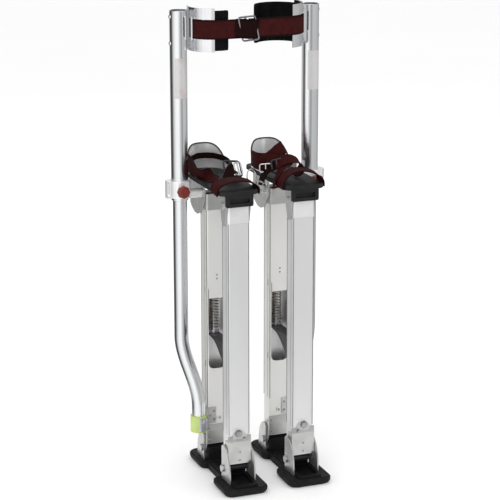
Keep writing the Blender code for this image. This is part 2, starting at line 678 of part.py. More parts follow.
def toe_strap(stilt):
    """Webbing over the toes: a low arch from one edge of the foot plate to the other."""
    y0, y1 = -0.074, -0.036
    foot_u = MAT_HALF_WIDTH + 0.0006
    path = [(foot_u, 0.603), (foot_u, 0.613)]
    for i in range(1, 12):
        angle = math.radians(180 * i / 12)
        path.append((0.0428 * math.cos(angle), 0.615 + 0.025 * math.sin(angle)))
    path += [(-foot_u, 0.613), (-foot_u, 0.603)]
    rings = []
    last = len(path) - 1
    for i, (u, z) in enumerate(path):
        ahead = (Vector(path[min(i + 1, last)]) - Vector(path[max(i - 1, 0)])).normalized()
        out = Vector((ahead.y, -ahead.x)) * STRAP_WALL
        rings.append([(u, y0, z), (u, y1, z), (u + out.x, y1, z + out.y), (u + out.x, y0, z + out.y)])
    bm = bmesh.new()
    loft(bm, rings)
    stilt.piece("toe_strap", bm, WEBBING, anchor="foot")


def ankle_strap(stilt):
    """Webbing round the heel cup's mouth, closed in a loop in front of the ankle."""
    radius = 0.0432
    plan = [(-radius, 0.090), (-radius, 0.060), (-radius, 0.034)]
    plan += arc((0, 0.034), radius, 180, 360, 14)[1:]
    plan += [(radius, 0.060), (radius, 0.090)]
    stilt.piece("ankle_strap", shape((ribbon, plan, -STRAP_WALL, 0.6150, 0.6530)), WEBBING, anchor="foot")


# ---------------------------------------------------------------- calf band

def out_arc(radius, start, end, steps):
    """Plan arc round the calf band's centre; 0 degrees is outwards, 90 towards the toes."""
    points = []
    for i in range(steps + 1):
        angle = math.radians(start + (end - start) * i / steps)
        points.append((radius * math.cos(angle), REAR_Y - radius * math.sin(angle)))
    return points


def curved_plate(bm, inner, outer, start, end, low, high, steps):
    prism(bm, out_arc(outer, start, end, steps) + out_arc(inner, end, start, steps), "Z", low, high)


def calf_band(stilt):
    """Bent aluminium band with the saddle that seats it on the tube."""
    low, high = BAND_SPAN
    band = shape((curved_plate, BAND_R - BAND_WALL, BAND_R, *BAND_ARC, low, high, 14))
    saddle = shape((box, (BAND_R - 0.0014, BAND_R + 0.009), (REAR_Y - 0.011, REAR_Y + 0.011), (0.872, 0.945)))
    tube = shape((rod, (LEG_U, REAR_Y), "Z", UPPER_TUBE_R + GAP, low - 0.02, high + 0.02, 28))
    stilt.piece("calf_band", band, ALUMINIUM, anchor="leg_tube", joins=(saddle,), cut=tube)


def calf_pad(stilt):
    """Foam liner inside the band; it can be set further round to either side."""
    start, end = PAD_ARC[stilt.side]
    outer = BAND_R - BAND_WALL - GAP
    low, high = BAND_SPAN
    bm = shape((curved_plate, outer - PAD_WALL, outer, start, end, low + 0.002, high - 0.005, 16))
    stilt.piece("calf_pad", bm, BLACK_FOAM, anchor="leg_tube")


def calf_strap(stilt, end_x):
    """Webbing from beside the tube, round the front of the band, straight to the shared buckle."""
    radius = BAND_R + GAP
    plan = out_arc(radius, 20, 90, 12)
    reach = end_x - stilt.middle
    plan.append((stilt.sign * reach * 0.5, REAR_Y - radius))
    plan.append((stilt.sign * reach, REAR_Y - radius))
    stilt.piece("calf_strap", shape((ribbon, plan, STRAP_WALL, *STRAP_SPAN)), WEBBING, anchor="leg_tube")


def calf_buckle():
    """Shared ladder buckle: a frame with a middle bar, in front of the two strap ends."""
    y1 = REAR_Y - BAND_R - STRAP_WALL - 0.0015
    z0, z1 = 0.886, 0.934
    x0, x1 = -0.034, 0.004
    body = shape((prism, rounded(x0, x1, z0, z1, 0.004, 3), "Y", y1 - 0.003, y1))
    cut = bmesh.new()
    middle = (x0 + x1) / 2
    box(cut, (x0 + 0.004, middle - 0.002), (y1 - 0.01, y1 + 0.01), (z0 + 0.004, z1 - 0.004))
    box(cut, (middle + 0.002, x1 - 0.004), (y1 - 0.01, y1 + 0.01), (z0 + 0.004, z1 - 0.004))
    made = finish_object("calf_buckle", body, Matrix.Identity(4))
    add_boolean(made, finish_object("calf_buckle.cut", cut, Matrix.Identity(4)), "DIFFERENCE")
    dress(made, STEEL)


# ---------------------------------------------------------------- assembly

def build_stilt(side, strap_end):
    stilt = Stilt(side)
    stilt.anchor("front_lower", (0, FRONT_Y, AXLE_HEIGHT))
    stilt.anchor("rear_lower", (0, REAR_Y, AXLE_HEIGHT))
    stilt.anchor("front_upper", (0, FRONT_Y, OUTER_TOP))
    stilt.anchor("rear_upper", (0, REAR_Y, OUTER_TOP))
    stilt.anchor("foot", (0, REAR_Y, PIVOT_HEIGHT))
    stilt.anchor("spring_rod", (0, REAR_Y, SPRING_SPAN[1]))
    stilt.anchor("leg_tube", (LEG_U, REAR_Y, UPPER_TUBE_SPAN[0]))
    stilt.anchor("clamp_knob", (KNOB[0], REAR_Y, KNOB[1]))
    sole(stilt)
    floor_plate(stilt)
    axle(stilt, "toe_axle", FRONT_Y)
    axle(stilt, "heel_axle", REAR_Y)
    outer_strut(stilt, "front", FRONT_Y)
    outer_strut(stilt, "rear", REAR_Y)
    lower_block(stilt, "front", FRONT_Y, (0.055, 0.110), True)
    lower_block(stilt, "rear", REAR_Y, (0.052, 0.093), False)
    spring_arm(stilt)
    spring(stilt)
    spring_rod(stilt)
    tube_bracket(stilt)
    tube_bushing(stilt)
    lower_leg_tube(stilt)
    inner_strut(stilt, "front", FRONT_Y, 1)
    inner_strut(stilt, "rear", REAR_Y, -1)
    upper_bracket(stilt, "front", FRONT_Y)
    upper_bracket(stilt, "rear", REAR_Y)
    tube_clamp(stilt)
    clamp_knob(stilt)
    foot_frame(stilt)
    foot_mat(stilt)
    heel_cup(stilt)
    toe_strap(stilt)
    ankle_strap(stilt)
    upper_leg_tube(stilt)
    calf_band(stilt)
    calf_pad(stilt)
    calf_strap(stilt, strap_end)


clear_scene()
build_stilt("right", -0.0165)
build_stilt("left", -0.0125)
calf_buckle()
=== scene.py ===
"""Looks for the pair of drywall stilts: finishes, webbing, foam, buckles, springs and studio.

Each stilt is described once in its own coordinates (u outwards from its middle plane, y, z) and
mirrored. The right stilt stands at -X and the left one at +X, with the toes towards -Y.
"""
import json
import math

import bmesh
import bpy
from mathutils import Matrix, Vector

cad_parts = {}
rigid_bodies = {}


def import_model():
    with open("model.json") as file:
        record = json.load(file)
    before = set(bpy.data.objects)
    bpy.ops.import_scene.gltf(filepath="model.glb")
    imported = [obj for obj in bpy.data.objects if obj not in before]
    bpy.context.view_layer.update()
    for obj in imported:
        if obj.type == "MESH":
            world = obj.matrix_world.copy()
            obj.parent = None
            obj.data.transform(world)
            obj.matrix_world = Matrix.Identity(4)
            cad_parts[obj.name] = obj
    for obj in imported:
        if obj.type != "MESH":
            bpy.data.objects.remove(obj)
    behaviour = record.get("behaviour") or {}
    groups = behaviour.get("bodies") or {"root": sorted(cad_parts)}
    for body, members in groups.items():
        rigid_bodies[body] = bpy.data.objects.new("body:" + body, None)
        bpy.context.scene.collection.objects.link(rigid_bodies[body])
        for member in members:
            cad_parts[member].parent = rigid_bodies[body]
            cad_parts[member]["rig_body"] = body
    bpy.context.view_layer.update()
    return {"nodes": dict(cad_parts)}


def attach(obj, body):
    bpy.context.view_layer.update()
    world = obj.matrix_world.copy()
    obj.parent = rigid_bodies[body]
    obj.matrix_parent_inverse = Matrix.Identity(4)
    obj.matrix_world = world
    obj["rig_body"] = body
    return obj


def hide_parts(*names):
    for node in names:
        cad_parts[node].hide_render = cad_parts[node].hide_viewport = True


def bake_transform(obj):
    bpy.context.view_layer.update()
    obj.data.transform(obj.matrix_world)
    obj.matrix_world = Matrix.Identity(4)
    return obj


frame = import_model()
NODES = frame["nodes"]

# Sizes that the pieces below share with the CAD, in metres.
MIDDLE = 0.137 / 2           # each stilt's middle plane, from the origin
STRUT_SPACING = 0.124
REAR_Y = STRUT_SPACING / 2
FRONT_Y = -STRUT_SPACING / 2
STRUT_HALF = 0.034 / 2       # half an outer strut's depth
OUTER_TOP = 0.545            # top of the outer struts
SPRING_SPAN = (0.2915, 0.3605)
LEG_U = 0.071                # leg tube's axis
UPPER_R = 0.0170
LOWER_R = 0.0143
BUSHING = (0.042, 0.042)     # u and y of the leg tube's foot
BAND_R = 0.050               # outside of the calf band
BAND_WALL = 0.0016
BAND_SPAN = (0.866, 0.951)
PAD_ARC = {"right": (-40, 113), "left": (-153, -3)}
STRAP_Z = 0.910              # middle line of the calf straps
WEB = 0.0022                 # thickness of the webbing
MAT_TOP = 0.612
MAT_HALF = 0.0415
# The way that each stilt's u axis points along X.
SIGN = {"right": -1, "left": 1}
# The ring of studio cards, in metres.
RING_RADIUS = 0.42
RING_TOP = 1.6


# ---------------------------------------------------------------- camera, light and floor

def build_camera():
    """Long lens from the front and the right stilt's side, looking a little down."""
    azimuth, pitch = math.radians(-21.5), math.radians(14.6)
    distance = 3.6566
    level = math.cos(pitch)
    back = Vector((math.sin(azimuth) * level, -math.cos(azimuth) * level, math.sin(pitch)))
    right = Vector((math.cos(azimuth), math.sin(azimuth), 0))
    data = bpy.data.cameras.new("camera")
    data.sensor_width = 36
    data.lens = 132.192
    data.shift_x = -0.0134
    data.shift_y = -0.0328
    data.clip_end = 60
    made = bpy.data.objects.new("camera", data)
    bpy.context.scene.collection.objects.link(made)
    pose = Matrix((right, back.cross(right), back)).transposed().to_4x4()
    pose.translation = Vector((0, 0, 0.5)) + back * distance
    made.matrix_world = pose
    bpy.context.scene.camera = made


def area_light(name, place, aim, size, power):
    data = bpy.data.lights.new(name, "AREA")
    data.shape = "RECTANGLE"
    data.size, data.size_y = size
    data.energy = power
    made = bpy.data.objects.new(name, data)
    bpy.context.scene.collection.objects.link(made)
    made.location = place
    made.rotation_euler = (Vector(aim) - Vector(place)).to_track_quat("-Z", "Y").to_euler()


def azimuth_ramp(nodes, links, coords, stops):
    """Colour ramp round the vertical axis: stops are (degrees from +X, level)."""
    split = nodes.new("ShaderNodeSeparateXYZ")
    turn = nodes.new("ShaderNodeMath")
    turn.operation = "ARCTAN2"
    scale = nodes.new("ShaderNodeMapRange")
    scale.inputs["From Min"].default_value = -math.pi
    scale.inputs["From Max"].default_value = math.pi
    ramp = nodes.new("ShaderNodeValToRGB")
    while len(ramp.color_ramp.elements) < len(stops):
        ramp.color_ramp.elements.new(0.5)
    for element, (degrees, level) in zip(ramp.color_ramp.elements, stops):
        element.position = (degrees + 180) / 360
        element.color = (level, level, level, 1)
    links.new(coords, split.inputs[0])
    links.new(split.outputs["Y"], turn.inputs[0])
    links.new(split.outputs["X"], turn.inputs[1])
    links.new(turn.outputs[0], scale.inputs["Value"])
    links.new(scale.outputs["Result"], ramp.inputs["Fac"])
    return ramp.outputs["Color"]


def build_studio():
    """White surround and three soft lights."""
    bpy.context.scene.view_settings.view_transform = "Standard"
    world = bpy.data.worlds.new("studio")
    bpy.context.scene.world = world
    world.use_nodes = True
    glow = world.node_tree.nodes["Background"]
    glow.inputs["Color"].default_value = (1, 1, 1, 1)
    glow.inputs["Strength"].default_value = 1.05
    area_light("key", (-2.2, -3.2, 3.2), (0, 0, 0.5), (2.0, 2.0), 30)
    area_light("fill", (3.0, -1.8, 1.8), (0, 0, 0.5), (1.6, 2.2), 10)
    area_light("rim", (0.6, 3.0, 2.4), (0, 0, 0.6), (2.2, 1.2), 15)


def build_reflectors():
    """Ring of white and dark studio cards round the stilts, seen only as reflections."""
    stops = [(-180, 0.75), (-165, 0.95), (-155, 1.0), (-130, 1.0), (-118, 0.70), (-95, 0.40),
             (-80, 0.28), (-60, 0.54), (-30, 0.52), (0, 0.48), (30, 0.30), (60, 0.45), (100, 0.52),
             (120, 0.42), (132, 0.06), (158, 0.06), (168, 0.45), (180, 0.75)]
    bm = bmesh.new()
    sides = 96
    rows = []
    for z in (0.0, RING_TOP):
        rows.append([bm.verts.new((RING_RADIUS * math.cos(t), RING_RADIUS * math.sin(t), z))
                     for t in (2 * math.pi * k / sides for k in range(sides))])
    for k in range(sides):
        m = (k + 1) % sides
        bm.faces.new((rows[0][k], rows[0][m], rows[1][m], rows[1][k]))
    mesh = bpy.data.meshes.new("reflectors")
    bm.to_mesh(mesh)
    bm.free()
    made = bpy.data.objects.new("reflectors", mesh)
    bpy.context.scene.collection.objects.link(made)
    look = bpy.data.materials.new("reflector_cards")
    look.use_nodes = True
    nodes, links = look.node_tree.nodes, look.node_tree.links
    nodes.clear()
    out = nodes.new("ShaderNodeOutputMaterial")
    glow = nodes.new("ShaderNodeEmission")
    glow.inputs["Strength"].default_value = 1.15
    coords = nodes.new("ShaderNodeTexCoord")
    links.new(azimuth_ramp(nodes, links, coords.outputs["Object"], stops), glow.inputs["Color"])
    links.new(glow.outputs[0], out.inputs["Surface"])
    mesh.materials.append(look)
    made.visible_camera = False
    made.visible_diffuse = False
    made.visible_shadow = False
    made.visible_transmission = False
    made.visible_volume_scatter = False


def build_floor():
    """Pale sweep: a floor that curves up into a wall far behind the stilts."""
    profile = [(-16.0, 0.0), (14.0, 0.0)]
    for i in range(1, 13):
        angle = math.radians(90 * i / 12)
        profile.append((14.0 + 2.0 * math.sin(angle), 2.0 - 2.0 * math.cos(angle)))
    profile.append((16.0, 9.0))
    bm = bmesh.new()
    rows = [[bm.verts.new((x, y, z)) for x in (-16.0, 16.0)] for y, z in profile]
    for a, b in zip(rows, rows[1:]):
        bm.faces.new((a[0], a[1], b[1], b[0]))
    mesh = bpy.data.meshes.new("floor")
    bm.to_mesh(mesh)
    bm.free()
    for face in mesh.polygons:
        face.use_smooth = True
    floor = bpy.data.objects.new("floor", mesh)
    bpy.context.scene.collection.objects.link(floor)
    look = Look("floor_paper", (0.93, 0.93, 0.93), 0.85)
    look.vary_colour(0.6, (0.925, 0.925, 0.925), (0.94, 0.94, 0.94))
    mesh.materials.append(look.material)


# ---------------------------------------------------------------- materials

class Look:
    """A Principled material, with chained bumps and procedural colour and roughness."""

    def __init__(self, name, colour, roughness, metallic=0.0, **more):
        self.material = bpy.data.materials.new(name)
        self.material.use_nodes = True
        self.tree = self.material.node_tree
        self.shader = self.tree.nodes["Principled BSDF"]
        self.shader.inputs["Base Color"].default_value = (*colour, 1)
        self.shader.inputs["Roughness"].default_value = roughness
        self.shader.inputs["Metallic"].default_value = metallic
        for socket, value in more.items():
            self.shader.inputs[socket.replace("_", " ")].default_value = value
        self.bump_end = None

    def node(self, kind, **settings):
        made = self.tree.nodes.new(kind)
        for key, value in settings.items():
            setattr(made, key, value)
        return made

    def link(self, a, b):
        self.tree.links.new(a, b)

    def coords(self, scale, source="Object"):
        coords = self.node("ShaderNodeTexCoord")
        mapping = self.node("ShaderNodeMapping")
        mapping.inputs["Scale"].default_value = scale
        self.link(coords.outputs[source], mapping.inputs["Vector"])
        return mapping.outputs["Vector"]

    def noise(self, scale, detail, stretch=(1, 1, 1), source="Object"):
        made = self.node("ShaderNodeTexNoise")
        made.inputs["Scale"].default_value = scale
        made.inputs["Detail"].default_value = detail
        made.inputs["Roughness"].default_value = 0.55
        self.link(self.coords(stretch, source), made.inputs["Vector"])
        return made.outputs["Fac"]

    def band(self, value, low, high, out_low, out_high):
        made = self.node("ShaderNodeMapRange")
        ends = {"From Min": low, "From Max": high, "To Min": out_low, "To Max": out_high}
        for socket, number in ends.items():
            made.inputs[socket].default_value = number
        self.link(value, made.inputs["Value"])
        return made.outputs["Result"]

    def math(self, operation, a, b):
        made = self.node("ShaderNodeMath", operation=operation)
        for socket, value in zip(made.inputs, (a, b)):
            if isinstance(value, (int, float)):
                socket.default_value = value
            else:
                self.link(value, socket)
        return made.outputs[0]

    def mix(self, factor, dark, light):
        made = self.node("ShaderNodeMix", data_type="RGBA")
        self.link(factor, made.inputs["Factor"])
        for socket, value in ((made.inputs[6], dark), (made.inputs[7], light)):
            if isinstance(value, tuple):
                socket.default_value = (*value, 1)
            else:
                self.link(value, socket)
        return made.outputs[2]

    def colour(self, value):
        self.link(value, self.shader.inputs["Base Color"])

    def vary_colour(self, scale, dark, light, stretch=(1, 1, 1)):
        self.colour(self.mix(self.band(self.noise(scale, 4, stretch), 0.3, 0.7, 0, 1), dark, light))

    def vary_roughness(self, scale, low, high, stretch=(1, 1, 1)):
        gloss = self.band(self.noise(scale, 4, stretch), 0.3, 0.7, low, high)
        self.link(gloss, self.shader.inputs["Roughness"])

    def bump(self, height, strength, distance):
        made = self.node("ShaderNodeBump")
        made.inputs["Strength"].default_value = strength
        made.inputs["Distance"].default_value = distance
        self.link(height, made.inputs["Height"])
        if self.bump_end is not None:
            self.link(self.bump_end, made.inputs["Normal"])
        self.bump_end = made.outputs["Normal"]
        self.link(self.bump_end, self.shader.inputs["Normal"])


def drawn_metal(name, dark, light, rough, lines, strength, metallic=1.0):
    """Extruded or drawn aluminium: fine lines along Z, soft handling marks in the gloss."""
    look = Look(name, light, rough[0], metallic)
    look.vary_colour(9, dark, light, (1, 1, 0.25))
    look.vary_roughness(14, rough[0], rough[1], (1, 1, 0.2))
    look.bump(look.noise(lines, 2, (1, 1, 0.006)), strength, 0.0002)
    look.bump(look.noise(60, 2, (1, 1, 0.15)), 0.05, 0.0006)
    return look.material


def cast_metal(name, dark, light, rough, grain, strength, metallic=1.0):
    look = Look(name, light, rough[0], metallic)
    look.vary_colour(40, dark, light)
    look.vary_roughness(70, rough[0], rough[1])
    look.bump(look.noise(grain, 3), strength, 0.0002)
    return look.material


def moulded(name, dark, light, rough, grain, strength, **more):
    look = Look(name, light, rough[0], 0.0, **more)
    look.vary_colour(55, dark, light)
    look.vary_roughness(35, rough[0], rough[1])
    look.bump(look.noise(grain, 3), strength, 0.0002)
    return look.material


def webbing(name, dark, light, edge):
    """Woven strap: u across and v along, both in metres. Twill rows that meet down the middle."""
    look = Look(name, light, 0.82, 0.0, Specular_IOR_Level=0.05)
    across = look.node("ShaderNodeSeparateXYZ")
    look.link(look.coords((1, 1, 1), "UV"), across.inputs[0])
    side = look.math("ABSOLUTE", across.outputs["X"], 0)
    slant = look.math("ADD", look.math("MULTIPLY", side, 0.9), across.outputs["Y"])
    twill = look.math("SINE", look.math("MULTIPLY", slant, 2 * math.pi / 0.0026), 0)
    picks = look.math("SINE", look.math("MULTIPLY", across.outputs["X"], 2 * math.pi / 0.0013), 0)
    weave = look.band(look.math("ADD", twill, look.math("MULTIPLY", picks, 0.6)), -1.6, 1.6, 0, 1)
    # Random mottling of the weave: partly wear, partly painted highlights where light catches the folds.
    wear_and_fold_highlight = look.band(look.noise(60, 4, (1, 1, 1), "UV"), 0.3, 0.7, 0.28, 0.80)
    body = look.mix(look.math("MULTIPLY", weave, wear_and_fold_highlight), dark, light)
    rim = look.band(side, 0.0150, 0.0160, 0, 1)
    look.colour(look.mix(rim, body, edge))
    look.link(look.band(weave, 0, 1, 0.88, 0.70), look.shader.inputs["Roughness"])
    look.bump(weave, 0.55, 0.0004)
    look.bump(look.noise(2600, 2), 0.25, 0.0002)
    return look.material


def foam_cloth(name):
    """Fabric-faced foam: fine knit loops over a soft, slightly lumpy pad."""
    look = Look(name, (0.004, 0.004, 0.005), 0.88, 0.0, Specular_IOR_Level=0.06)
    look.vary_colour(60, (0.0025, 0.0025, 0.003), (0.006, 0.006, 0.007))
    cells = look.node("ShaderNodeTexVoronoi", feature="F1")
    cells.inputs["Scale"].default_value = 900
    look.link(look.coords((1, 1, 0.7)), cells.inputs["Vector"])
    look.bump(look.band(cells.outputs["Distance"], 0, 0.6, 1, 0), 0.5, 0.0004)
    look.bump(look.noise(70, 2), 0.35, 0.0012)
    return look.material


def label_film(name):
    """Blank clear label film: pale grey with faint warm smudges, scuffed a little."""
    look = Look(name, (0.60, 0.59, 0.59), 0.30, 0.35)
    smudge = look.band(look.noise(26, 3, (1, 1, 0.6)), 0.52, 0.66, 0, 0.55)
    tint = look.mix(smudge, (0.60, 0.59, 0.59), (0.52, 0.38, 0.37))
    scuff = look.band(look.noise(140, 4), 0.45, 0.75, 0, 0.4)
    look.colour(look.mix(scuff, tint, (0.52, 0.52, 0.53)))
    look.vary_roughness(90, 0.25, 0.45)
    return look.material


def axle_metal(name):
    """Dark roller between the cheeks, with plated bolt ends outside them."""
    look = Look(name, (0.05, 0.05, 0.05), 0.34)
    across = look.node("ShaderNodeSeparateXYZ")
    look.link(look.coords((1, 1, 1), "Generated"), across.inputs[0])
    middle = look.math("ABSOLUTE", look.math("SUBTRACT", across.outputs["X"], 0.5), 0)
    ends = look.band(middle, 0.33, 0.34, 0, 1)
    look.colour(look.mix(ends, (0.030, 0.030, 0.032), (0.62, 0.63, 0.66)))
    look.link(look.band(middle, 0.33, 0.34, 0.3, 1), look.shader.inputs["Metallic"])
    look.vary_roughness(60, 0.26, 0.40)
    look.bump(look.noise(600, 3), 0.10, 0.0002)
    return look.material


MATERIALS = {
    "tube": drawn_metal("tube_metal", (0.76, 0.775, 0.785), (0.87, 0.88, 0.885), (0.14, 0.22), 1400, 0.10),
    "panel": drawn_metal("panel_metal", (0.76, 0.76, 0.765), (0.82, 0.82, 0.825), (0.42, 0.52), 1800,
                         0.25, 0.65),
    "rear_panel": drawn_metal("rear_panel_metal", (0.84, 0.835, 0.81), (0.92, 0.915, 0.89), (0.36, 0.46),
                              1800, 0.25, 0.5),
    "inner": drawn_metal("inner_metal", (0.80, 0.80, 0.80), (0.88, 0.88, 0.88), (0.30, 0.40), 1600, 0.15),
    "bracket": cast_metal("bracket_metal", (0.84, 0.84, 0.84), (0.92, 0.92, 0.92), (0.28, 0.40), 900,
                          0.12, 0.6),
    # Cast aluminium darkened to paint the shade on the cheeks, blocks and brackets round the foot plate and
    # strut feet.
    "shade_darkened_cast_metal": cast_metal("shade_darkened_cast_metal", (0.52, 0.52, 0.51), (0.64, 0.64, 0.63), (0.28, 0.40), 900,
                             0.12, 0.85),
    "axle": axle_metal("axle_metal"),
    "polished": cast_metal("polished_metal", (0.74, 0.74, 0.755), (0.84, 0.84, 0.855), (0.08, 0.16), 300,
                           0.03),
    "zinc": cast_metal("zinc_plate", (0.50, 0.51, 0.54), (0.68, 0.69, 0.72), (0.25, 0.38), 700, 0.10),
    "spring": drawn_metal("spring_wire", (0.28, 0.25, 0.22), (0.52, 0.48, 0.43), (0.25, 0.38), 900, 0.05),
    "cup": cast_metal("cup_metal", (0.88, 0.88, 0.89), (0.95, 0.95, 0.96), (0.18, 0.28), 300, 0.04, 0.5),
    # Dark grey metal for thin strips that paint the shadow in grooves, slits and joints.
    "shadow_line": cast_metal("shadow_line_metal", (0.16, 0.16, 0.165), (0.24, 0.24, 0.245), (0.35, 0.45), 700, 0.10, 0.6),
    "bolt": cast_metal("bolt_metal", (0.30, 0.30, 0.31), (0.48, 0.48, 0.50), (0.18, 0.30), 700, 0.08),
    # Webbing darkened to paint the shade on strap runs that lie in shadow: the doubled calf strap tail and
    # the hidden ankle strap runs.
    "shade_painted_webbing": webbing("shaded_webbing", (0.006, 0.0015, 0.0015), (0.030, 0.006, 0.006),
                            (0.006, 0.002, 0.002)),
    "chrome": cast_metal("buckle_plate", (0.66, 0.66, 0.68), (0.82, 0.82, 0.84), (0.12, 0.22), 500, 0.05),
    "rubber": moulded("sole_rubber", (0.004, 0.004, 0.004), (0.010, 0.010, 0.011), (0.50, 0.68), 1500, 0.3,
                      Specular_IOR_Level=0.18),
    "mat": moulded("mat_rubber", (0.005, 0.005, 0.006), (0.012, 0.012, 0.013), (0.52, 0.68), 1300, 0.35,
                   Specular_IOR_Level=0.35),
    "nylon_black": moulded("black_nylon", (0.014, 0.014, 0.016), (0.026, 0.026, 0.029), (0.30, 0.42), 1100,
                           0.12),
    "red": moulded("red_nylon", (0.13, 0.008, 0.005), (0.20, 0.014, 0.008), (0.30, 0.42), 900, 0.06),
    "green": moulded("green_nylon", (0.45, 0.58, 0.16), (0.58, 0.72, 0.26), (0.32, 0.45), 900, 0.08,
                     Subsurface_Weight=0.15, Subsurface_Scale=0.004),
    "webbing": webbing("burgundy_webbing", (0.016, 0.0026, 0.0030), (0.098, 0.0140, 0.0140),
                       (0.015, 0.0030, 0.0035)),
    "thread": moulded("thread", (0.05, 0.012, 0.012), (0.10, 0.028, 0.028), (0.6, 0.75), 2500, 0.3),
    "foam": foam_cloth("foam_cloth"),
    "label": label_film("label_film"),
}
CAD_LOOKS = {
    "sole": "rubber", "floor_plate": "shade_darkened_cast_metal", "toe_axle": "axle", "heel_axle": "axle",
    "front_outer_strut": "panel", "rear_outer_strut": "rear_panel", "front_lower_block": "shade_darkened_cast_metal",
    "rear_lower_block": "shade_darkened_cast_metal", "spring_arm": "nylon_black", "spring": "spring", "spring_rod": "zinc",
    "tube_bracket": "zinc", "tube_bushing": "green", "lower_leg_tube": "tube", "front_inner_strut": "inner",
    "rear_inner_strut": "inner", "front_upper_bracket": "bracket", "rear_upper_bracket": "shade_darkened_cast_metal",
    "tube_clamp": "bracket", "clamp_knob": "red", "foot_frame": "shade_darkened_cast_metal", "foot_mat": "mat",
    "heel_cup": "polished", "toe_strap": "webbing", "ankle_strap": "webbing", "upper_leg_tube": "tube",
    "calf_band": "polished", "calf_pad": "foam", "calf_strap": "webbing", "calf_buckle": "chrome",
}
BEVELS = {"sole": 0.0018, "foot_mat": 0.0009, "spring_arm": 0.0008, "clamp_knob": 0.0006}
EDGE = 0.0004


# ---------------------------------------------------------------- mesh tools

def arc(centre, radius, start, end, steps):
    """Points on an arc, its angles in degrees."""
    out = []
    for i in range(steps + 1):
        angle = math.radians(start + (end - start) * i / steps)
        out.append((centre[0] + radius * math.cos(angle), centre[1] + radius * math.sin(angle)))
    return out


def rounded(x0, x1, y0, y1, radius, steps=6):
    """Outline of a rectangle with rounded corners."""
    out = []
    for (x, y), start in (((x1 - radius, y1 - radius), 0), ((x0 + radius, y1 - radius), 90),
                          ((x0 + radius, y0 + radius), 180), ((x1 - radius, y0 + radius), 270)):
        out += arc((x, y), radius, start, start + 90, steps)
    return out


def loft(bm, rings, closed=False):
    """Skin through rings of equal length, capped unless the last ring joins the first."""
    rows = [[bm.verts.new(p) for p in ring] for ring in rings]
    pairs = list(zip(rows, rows[1:])) + ([(rows[-1], rows[0])] if closed else [])
    for a, b in pairs:
        n = len(a)
        for i in range(n):
            bm.faces.new((a[i], a[(i + 1) % n], b[(i + 1) % n], b[i]))
    if not closed:
        bm.faces.new(rows[0][::-1])
        bm.faces.new(rows[-1])


def spatial(point, axis, height):
    """Point of a flat outline, set at a height along the axis."""
    a, b = point
    return {"X": (height, a, b), "Y": (a, height, b), "Z": (a, b, height)}[axis]


def prism(bm, outline, axis, low, high, edge=0.0):
    """Extruded outline; edge rounds the rims of both caps with a small chamfer ring."""
    if not edge:
        loft(bm, [[spatial(p, axis, h) for p in outline] for h in (low, high)])
        return
    n = len(outline)
    cx, cy = sum(p[0] for p in outline) / n, sum(p[1] for p in outline) / n

    def shrunk(by):
        out = []
        for x, y in outline:
            length = math.hypot(x - cx, y - cy) or 1
            out.append((x - (x - cx) / length * by, y - (y - cy) / length * by))
        return out
    levels = ((low, edge), (low + edge * 0.3, edge * 0.3), (low + edge, 0), (high - edge, 0),
              (high - edge * 0.3, edge * 0.3), (high, edge))
    loft(bm, [[spatial(p, axis, h) for p in shrunk(by)] for h, by in levels])


def disc(bm, centre, axis, profile, sides):
    """Turned piece: profile is (height, radius) pairs along axis."""
    loft(bm, [[spatial(p, axis, h) for p in arc(centre, r, 0, 360, sides)[:-1]] for h, r in profile])


def smooth_path(points):
    """Catmull-Rom through points of any dimension, as Vectors."""
    per = 10
    pts = [Vector(p) for p in points]
    out = []
    for i in range(len(pts) - 1):
        p0 = pts[i - 1] if i else pts[0] * 2 - pts[1]
        p1, p2 = pts[i], pts[i + 1]
        p3 = pts[i + 2] if i + 2 < len(pts) else pts[-1] * 2 - pts[-2]
        for k in range(per):
            t = k / per
            out.append(0.5 * ((2 * p1) + (p2 - p0) * t + (2 * p0 - 5 * p1 + 4 * p2 - p3) * t * t
                              + (3 * p1 - p0 - 3 * p2 + p3) * t * t * t))
    out.append(pts[-1])
    return out


def tube(bm, path, radius, sides, closed=False):
    """Round bar along a path, its rings carried along without twist."""
    pts = [Vector(p) for p in path]
    n = len(pts)
    ahead = []
    for i in range(n):
        a = pts[(i - 1) % n] if closed or i else pts[0]
        b = pts[(i + 1) % n] if closed or i < n - 1 else pts[-1]
        ahead.append((b - a).normalized())
    side = ahead[0].orthogonal().normalized()
    rings = []
    for point, forward in zip(pts, ahead):
        side = (side - forward * side.dot(forward)).normalized()
        up = forward.cross(side)
        rings.append([point + (side * math.cos(t) + up * math.sin(t)) * radius
                      for t in (2 * math.pi * k / sides for k in range(sides))])
    loft(bm, rings, closed)


def finish(name, bm, body, look, side, smooth, edge, replaces=()):
    """Turns a bmesh into a piece that rides on its body; side mirrors it into place."""
    if side:
        bmesh.ops.transform(bm, matrix=Matrix.Scale(SIGN[side], 4, (1, 0, 0)), verts=bm.verts)
        bmesh.ops.translate(bm, vec=(SIGN[side] * MIDDLE, 0, 0), verts=bm.verts)
    bmesh.ops.recalc_face_normals(bm, faces=bm.faces)
    mesh = bpy.data.meshes.new(name)
    bm.to_mesh(mesh)
    bm.free()
    made = bpy.data.objects.new(name, mesh)
    bpy.context.scene.collection.objects.link(made)
    mesh.materials.append(MATERIALS[look])
    if edge:
        add_edge(made, edge)
    shade(made, smooth)
    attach(made, body)
    if replaces:
        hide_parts(*replaces)
    return made


def add_edge(made, width):
    bevel = made.modifiers.new("edge", "BEVEL")
    bevel.width = width
    bevel.segments = 2
    bevel.limit_method = "ANGLE"
    bevel.angle_limit = math.radians(35)
    bevel.harden_normals = False
    bevel.use_clamp_overlap = True


def shade(made, degrees):
    """Smooth shading, with a hard edge wherever faces meet at more than the given angle."""
    for face in made.data.polygons:
        face.use_smooth = True
    bm = bmesh.new()
    bm.from_mesh(made.data)
    limit = math.radians(degrees)
    for e in bm.edges:
        e.smooth = len(e.link_faces) == 2 and e.calc_face_angle(0) < limit
    bm.to_mesh(made.data)
    bm.free()


